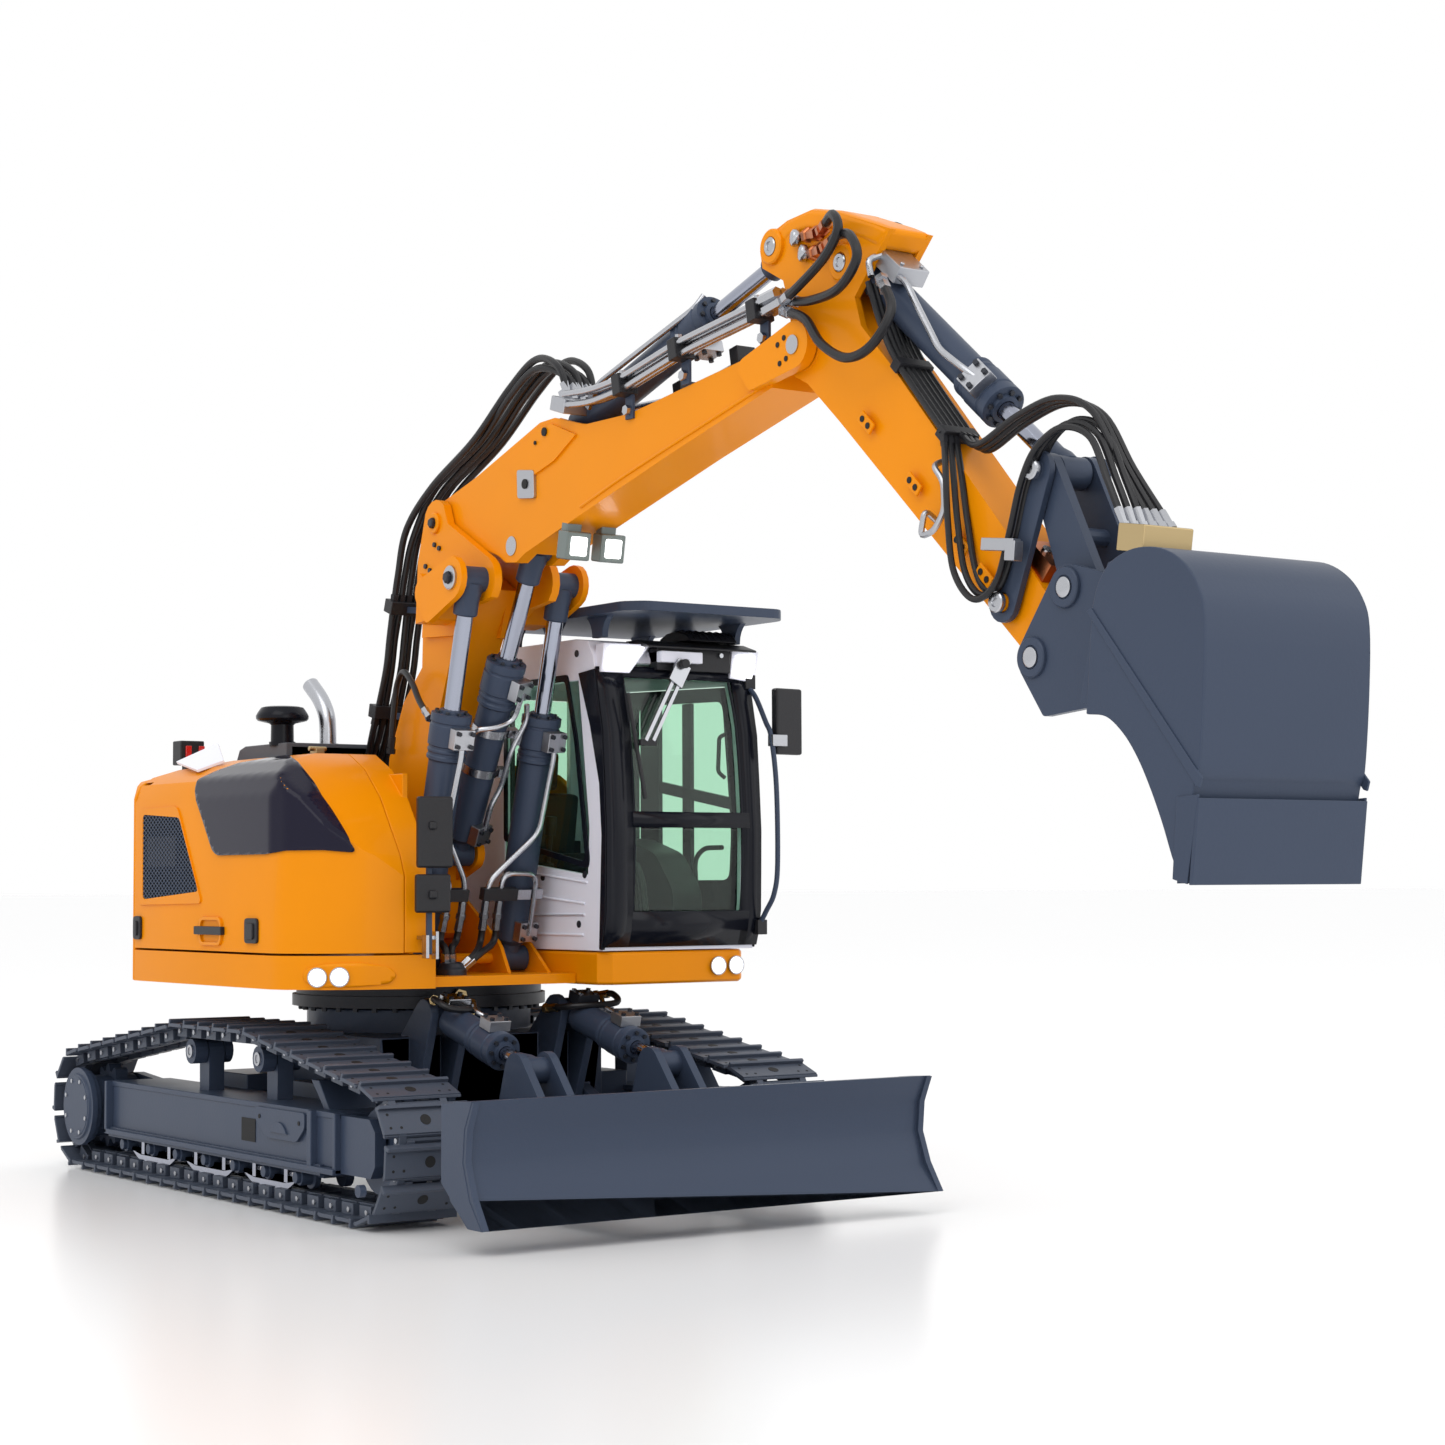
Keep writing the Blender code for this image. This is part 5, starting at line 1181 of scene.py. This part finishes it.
def make_base_boom():
    """Pin ends and side bolts of the base boom, and the hose bundle up its back."""
    ring = Batch("base_boom_washers", "boom_base", "silver")
    core = Batch("base_boom_pins", "boom_base", "orange")
    dark = Batch("base_boom_bolts", "boom_base", "dark")
    for out, x in ((-1, -35.4), (1, 16.4)):
        pin_head(ring, dark, LIFT_TOP, x, out, 4.2)
    for out, x in ((-1, -22.7), (1, 3.7)):
        pin_head(core, dark, KNEE, x, out, 3.8)
    core.done()
    for f, z in ((53, 233.2), (56.4, 231.6), (46.4, 226), (49.6, 224.2)):
        dark.rod((-22.8, f, z), (-23.6, f, z), 0.9, 12)
    finish(ring, dark)
    Batch("base_boom_clips", "boom_base", "plastic", 0.35).cube((BOOM_X - 2.4, 12, 214.5), (16.5, 5, 6),
        (0, 0.35, 1)).cube((BOOM_X - 2.4, -0.5, 176), (16.5, 5, 5.6), (0, 0.25, 1)).done()
    Batch("base_boom_clip_posts", "boom_base", "steel", 0.2).cube((BOOM_X, 22, 212.5), (8, 19, 2.4),
        (0, 1, -0.12)).cube((BOOM_X, 9, 173.6), (8, 18, 2.4), (0, 1, -0.12)).done()
    run = Batch("boom_hose_run", "boom_base", "rubber")
    for x, bow in zip(HOSE_ROWS, (0, 1.3, -0.6, 0.9, 0.2)):
        run.tube(curve_through([(x, 12, 215), (x, 9 - bow, 203), (x, 6.2 - bow, 191), (x, -0.5, 175.5)]),
            1.3, 12)
    run.done("boom_hoses")
    for i, (x, sway) in enumerate(zip(HOSE_ROWS, (1.5, -1.2, 0.6, -0.8, 1.8))):
        hose(f"boom_hose_top_{i}", [(x * 0.9 - 1.5, 137 - sway, 275.4), (x - 1, 131, 284.5 + sway),
            (x - 1.5 + sway, 115, 289.5 + 1.2 * sway), (x - 1 + sway, 96, 282.5 + sway), (x, 72, 269),
            (x, 40 + sway, 256), (x, 22, 241 + sway), (x, 15.4, 226), (x, 12, 214)],
            ("boom_main", "boom_base"), 1.3, ("silver", "plastic"))
        hose(f"boom_hose_foot_{i}", [(x, -0.5, 176), (x, -5.2, 166), (x + sway * 0.5, -9.5, 158),
            (x + sway, -10.5, 150)], ("boom_base", "house"), 1.3, ("plastic", "silver"))

    hose("lift_hose_upper", [(-24, 22, 160), (-24.5, 25, 174), (-25, 28.5, 184), (-26, 35.2, 188.2),
        (-27, 43.5, 183.7), (-28, 51.1, 176.4), (-29, 60, 170.4)], ("house", "lift_barrel_right"), 1.15,
        ("plastic", "silver"))


def make_stick():
    cap = Batch("stick_head_cap", "stick", "orange", 2.2)
    top = [(247.6, 302.6), (251, 307.6), (260, 310.8), (272, 311.6), (285.2, 308.3), (303, 301.2),
        (310.3, 297.8), (304.5, 292.6), (296, 297), (281, 302.6), (270, 304.8), (261, 304.4),
        (254.5, 300.6)]
    cap.plate(top, BOOM_X - 8.5, BOOM_X + 8.5)
    cap.done()
    plates = Batch("stick_keepers", "stick", "orange", 0.3)
    # the sunk screws' recesses are near-black discs: painted shade
    dots = Batch("stick_dots", "stick", "painted_shade")
    for spot in ((300.2, 243), (321.4, 222.6), (341.6, 203.6), (351.6, 193.8)):
        twin_dots(plates, dots, spot, (0.72, -0.68), BOOM_X - 9.4)
    finish(plates, dots)
    rings = Batch("stick_pin_bosses", "stick", "orange")
    nuts = Batch("stick_pins", "stick", "silver")
    for spot, wide in ((STICK_CYL_TOP, 8.1), (BUCKET_CYL_BASE, 8.3)):
        both_ends(rings, spot, wide, [(-0.4, 5.6), (0.9, 5.4), (1.3, 4.9), (1.3, 3.1), (0.9, 2.9)], 36)
        both_ends(nuts, spot, wide, [(0.4, 2.8), (1.4, 2.8), (1.7, 2.4), (1.7, 1.5), (1.3, 1.3)], 28)
    finish(rings, nuts)
    saddle = Batch("stick_hose_saddles", "stick", "plastic", 0.3)
    for spot in ((313.5, 257.6), (333.2, 235.4)):
        saddle.cube((BOOM_X - 3.4, *spot), (12.6, 3.6, 3.6), (0, 0.72, -0.68))
    saddle.done()
    Batch("stick_hose_bracket", "stick", "alloy").tube(rounded([(-17, 334, 228), (-22.6, 334, 226),
        (-22.6, 338.6, 221), (-22.6, 339, 213), (-22.6, 334.4, 207.6), (-22.6, 328.4, 206.6),
        (-22.6, 330.4, 214), (-17.2, 329.6, 211)], 2.4, 5), 0.9).done()
    Batch("rocker_hose_clamp", "rocker", "alloy", 0.3).cube((-24.6, 364.4, 200.6), (3, 13, 3.4),
        (0, 1, -0.12)).cube((-24.6, 369.6, 198.4), (3.2, 4, 5.4), (0, 1, -0.12)).done()
    copper = Batch("stick_fittings", "stick", "copper")
    tips = Batch("stick_fitting_tips", "stick", "silver")
    for a, b in (((-17.4, 270, 303.6), (-19.6, 279, 302.4)), ((-17.4, 273.2, 297.6),
            (-20.2, 281.6, 297))):
        copper.lathe([(0, 2.4), (2.2, 2.4), (2.6, 1.9), (6, 1.9), (6.4, 2.3), (8.8, 2.3)], a, b, 6)
        tips.rod(tuple(Vector(a) + Vector((0.9, -2.8, 0.2))), a, 1.8, 6)
    copper.cube((-10.6, 369.4, 196), (12, 11, 6), (0, 0.72, -0.68))
    copper.done()
    for i in range(3):
        tips.rod((-14.4 + 3.8 * i, 369.4, 197), (-14.4 + 3.8 * i, 371.8, 199.4), 1.5, 12)
    for f, z in ((266.6, 303.4), (270.6, 298)):
        tips.lathe([(0, 2.5), (1, 2.7), (1.8, 2.5), (2.4, 1.6), (2.5, 0.1)], (-18.2, f, z),
            (-30, f - 6, z + 1), 28)
    tips.done()


def make_stick_loops():
    """The hose loops round the stick's pin."""
    hose("stick_loop_0", [(-23.2, 265.5, 284), (-25.5, 277, 286.4), (-27, 290.8, 291.6),
        (-27, 297.6, 298.6), (-25, 292.4, 304.4), (-20.4, 281.5, 302.6)], ("boom_main", "stick"), 1.45,
        ("silver", "copper"))
    hose("stick_loop_1", [(-20.6, 265.6, 284.2), (-24, 281, 281.4), (-27, 298, 281.6),
        (-28, 307.6, 288.4), (-26.5, 302.6, 296), (-23, 292, 298.4), (-20.6, 283.6, 297.2)],
        ("boom_main", "stick"), 1.45, ("silver", "copper"))
    hose("stick_loop_2", [(-21.8, 265, 281.2), (-25, 279, 276), (-26.5, 288.6, 267), (-27, 301, 260.8),
        (-27, 312.6, 262.4), (-24, 318, 272), (-20, 309, 282.6)], ("boom_main", "stick"), 1.45)
    hose("stick_loop_3", [(1, 262, 283.4), (3.6, 277, 288), (5, 292, 297), (3.6, 286, 306),
        (-0.6, 275, 303)], ("boom_main", "stick"), 1.45)


def make_bucket_lines():
    """Thin lines down the stick and over the rocker to the bucket's oil block."""
    thin = ((-23, 0), (-20.4, 2.6), (-17.6, 5), (-13.6, 7.6), (-5.4, 6.4), (-2.6, 5.2))
    lines = Batch("stick_lines", "stick", "rubber")
    rows = [BOOM_X - 8.4 + 2 * i for i in range(len(thin))]
    for i, row in enumerate(rows):
        lines.tube(curve_through([(row, 300, 284 - i * 0.5), (row, 306, 270), (row, 313.5, 258),
            (row, 333.2, 235.8)]), 0.95)
    lines.done()
    for i, (row, (x, push)) in enumerate(zip(rows, thin)):
        end = -28.5 + 2.2 * i
        if i < 3:
            points = [(row, 333.2, 235.8), (x, 340, 225), (x - 1, 342 + push * 0.4, 209),
                (x - 1.5, 345 + push * 0.6, 195), (x - 1.5, 353, 187 + push * 0.5),
                (x - 1, 361.5 - push * 0.3, 190.5), (x, 366, 203), (x, 371, 216.5),
                (x - 1, 378.4, 224.8 + push * 0.4), (x - 1.5, 389, 228.6 + push * 0.5),
                (x - 2, 400, 224.6 + push * 0.4), (end, 410 + i, 212), (end, 416 + i, 199.6)]
        else:
            wide = -15.8 - 2 * (5 - i)          # past the cylinder's rod eye, on its right
            points = [(row, 333.2, 235.8), (wide, 350, 226 + push * 0.5), (wide, 366, 231.5 + push * 0.5),
                ((wide + end) / 2, 383, 234.5 + push * 0.4), (end + 0.6, 397, 229 + push * 0.4),
                (end, 408, 216), (end, 416 + i, 199.6)]
        hose(f"bucket_line_{i}", points, ("stick", "bucket"), 0.95, ("plastic", "silver"))


def make_bucket():
    Batch("bucket_oil_block", "bucket", "brass", 0.4).cube((-23, 421, 196), (17, 9.5, 7),
        (0, 1, -0.16)).done()
    back = [(414.2, 178.6), (416.6, 184.8), (421.2, 189.6), (429, 192), (438.2, 191.2), (445.6, 187.4),
        (450.6, 181.4), (452.8, 173.6), (452.2, 156), (450.4, 138), (448.6, 133.2), (446.4, 121),
        (445, 110.8)]
    mouth = [(445, 110.8), (441.6, 115), (437.6, 125), (433.6, 133.6), (429.4, 141), (424.6, 147),
        (418.6, 151.4), (411.6, 152.4)]

    def smooth(points):
        return [(p.y, p.z) for p in curve_through([(0, f, z) for f, z in points], 5)]
    wrap = smooth(back)
    inner = []
    for i, (f, z) in enumerate(wrap):
        (f0, z0), (f1, z1) = wrap[max(i - 1, 0)], wrap[min(i + 1, len(wrap) - 1)]
        size = math.hypot(f1 - f0, z1 - z0)
        inner.append((f - (z0 - z1) / size * 1.4, z - (f1 - f0) / size * 1.4))
    Batch("bucket_skin", "bucket", "steel", 0.5, 20).plate(wrap + inner[::-1], BOOM_X - 28.7,
        BOOM_X + 28.7).done()
    cheeks = Batch("bucket_cheeks", "bucket", "steel", 0.4)
    for out in (-1, 1):
        x = BOOM_X + out * 28.1
        cheeks.plate(wrap + smooth(mouth)[1:], *sorted((x, x + out * 0.75)))
    cheeks.done()
    ribs = Batch("bucket_ridges", "bucket", "steel", 0.2)
    for out in (-1, 1):
        x = BOOM_X + out * 28.8
        low, high = sorted((x - out * 0.2, x + out * 0.5))
        ribs.plate([(412.6, 178), (414.4, 178.6), (451.6, 135.4), (450.8, 133), (449.6, 133.4)], low,
            high)
        ribs.plate([(446.2, 110.2), (441.4, 111.4), (443.2, 131), (450.4, 131.4), (448.6, 122)], low,
            high)
    ribs.plate([(449.4, 130.4), (450.6, 130.6), (448, 110), (446.8, 110)], BOOM_X - 29.2, BOOM_X + 29.2)
    ribs.done()
    ends = Batch("bucket_pin_ends", "bucket", "silver")
    bosses = Batch("bucket_pin_bosses", "bucket", "steel", 0.3)
    for spot in (LINK_PIN, BUCKET_PIN):
        both_ends(bosses, spot, 14, [(-0.4, 5.6), (0.8, 5.4), (1.1, 5), (1.1, 3.2), (0.6, 3)], 36)
        both_ends(ends, spot, 14, [(0.2, 2.7), (1.2, 2.7), (1.5, 2.2), (1.5, 0.1)], 24)
    finish(ends, bosses)
    knob = Batch("rocker_pin_ends", "rocker", "silver")
    for spot in (ROCKER_TOP, ROCKER_PIN):
        both_ends(knob, spot, 12.6, [(-0.4, 2.9), (0.8, 2.9), (1.1, 2.5), (1.1, 1.4), (0.7, 1.2)], 28)
    knob.done()


def make_blade_details():
    """Round bosses on the blade's ends, and the hoses of the blade cylinders."""
    edge = Batch("blade_seams", "blade", "steel")
    for side in (-1, 1):
        edge.rod((side * 93.2, 134, 14), (side * 95.4, 134, 14), 2, 20)
    edge.done()
    for side, tag in SIDES:
        hose(f"blade_hose_{side + 1}", [(side * 33.6, 72, 70.4), (side * 36.5, 78, 71),
            (side * 34, 84, 68), (side * 20, 78, 67), (side * 16, 66, 66)],
            ("blade_barrel_" + tag, "undercarriage"), 1.2, ("brass", "brass"))


# ------------------------------------------------------------------ camera, light and floor

def make_studio():
    camera = bpy.data.cameras.new("camera")
    camera.lens = CAMERA_LENS
    camera.sensor_width = 36
    camera.clip_start = 0.01
    camera.clip_end = 50
    view = bpy.data.objects.new("camera", camera)
    bpy.context.scene.collection.objects.link(view)
    forward = Vector((-math.sin(CAMERA_YAW) * math.cos(CAMERA_PITCH),
        math.cos(CAMERA_YAW) * math.cos(CAMERA_PITCH), math.sin(CAMERA_PITCH)))
    level = Vector((math.cos(CAMERA_YAW), math.sin(CAMERA_YAW), 0))
    upright = level.cross(forward)
    right = level * math.cos(CAMERA_ROLL) + upright * math.sin(CAMERA_ROLL)
    up = upright * math.cos(CAMERA_ROLL) - level * math.sin(CAMERA_ROLL)
    turn = Matrix((right, up, -forward)).transposed()
    view.matrix_world = Matrix.Translation(CAMERA_PLACE) @ turn.to_4x4()
    bpy.context.scene.camera = view

    world = bpy.data.worlds.new("studio")
    world.use_nodes = True
    world.node_tree.nodes["Background"].inputs["Color"].default_value = (1, 1, 1, 1)
    world.node_tree.nodes["Background"].inputs["Strength"].default_value = 1
    bpy.context.scene.world = world
    bpy.context.scene.view_settings.view_transform = "Standard"

    for name, place, size, power in (("key", (-1.1, -0.7, 1.5), 1.3, 9),
            ("fill", (1.2, -1.2, 0.9), 1.4, 3.5), ("front", (-0.3, -1.9, 0.5), 1, 3)):
        lamp = bpy.data.lights.new(name, "AREA")
        lamp.size = size
        lamp.energy = power
        holder = bpy.data.objects.new(name, lamp)
        bpy.context.scene.collection.objects.link(holder)
        holder.location = place
        aim = Vector((0, 0, 0.12)) - Vector(place)
        holder.rotation_euler = aim.to_track_quat("-Z", "Y").to_euler()

    # a wide flat floor that runs out into the white surroundings
    bm = bmesh.new()
    bm.faces.new([bm.verts.new((FLOOR_RADIUS * math.cos(math.pi * i / 32),
        FLOOR_RADIUS * math.sin(math.pi * i / 32), FLOOR_LEVEL)) for i in range(64)])
    mesh = bpy.data.meshes.new("floor")
    bm.to_mesh(mesh)
    bm.free()
    floor = bpy.data.objects.new("floor", mesh)
    bpy.context.scene.collection.objects.link(floor)
    floor.data.materials.append(new_material("white_floor", (0.96, 0.96, 0.965), 0.25, grain=0.01))


make_undercarriage()
make_lift_rams()
make_adjust_ram()
make_stick_rams()
make_blade_rams()
for node, body, paint, width in (("upper_frame", "house", "orange", 0.9),
        ("counterweight", "house", "orange", 1.4), ("front_fender", "house", "orange", 0.5),
        ("hood_left", "hood_left", "orange", 0.6), ("cab_base", "house", "orange", 1.2),
        ("hood_right", "hood_right", "orange", 0.5), ("engine_deck", "house", "deck", 0.8)):
    rounded_node(node, body, paint, width)
make_hood()
make_front_lamps()
make_stacks()
make_deck()
make_right_mirror()
make_cab_front()
make_cab_side()
make_cab_door()
make_cab_inside()
make_cab_roof()
make_left_mirror()
for node, body, paint, width in (("car_body", "undercarriage", "steel", 0.8),
        ("dozer_blade", "blade", "steel", 0.35), ("bucket", "bucket", "steel", 0.35),
        ("rocker_arm", "rocker", "steel", 0.4), ("tipping_link", "link", "steel", 0.4),
        ("boom_base", "boom_base", "orange", 0.6), ("boom_main", "boom_main", "orange", 0.6),
        ("stick", "stick", "orange", 0.6)):
    rounded_node(node, body, paint, width)
repaint("blue", "battery_pack")
repaint("alloy", "hydraulic_pump")
boom_bolts = Batch("boom_bolts", "boom_main", "silver")
make_boom_pipes(boom_bolts)
make_boom_sides(boom_bolts)
boom_bolts.done()
make_boom_lamps()
make_base_boom()
make_stick()
make_stick_loops()
make_bucket_lines()
make_bucket()
make_blade_details()
make_studio()
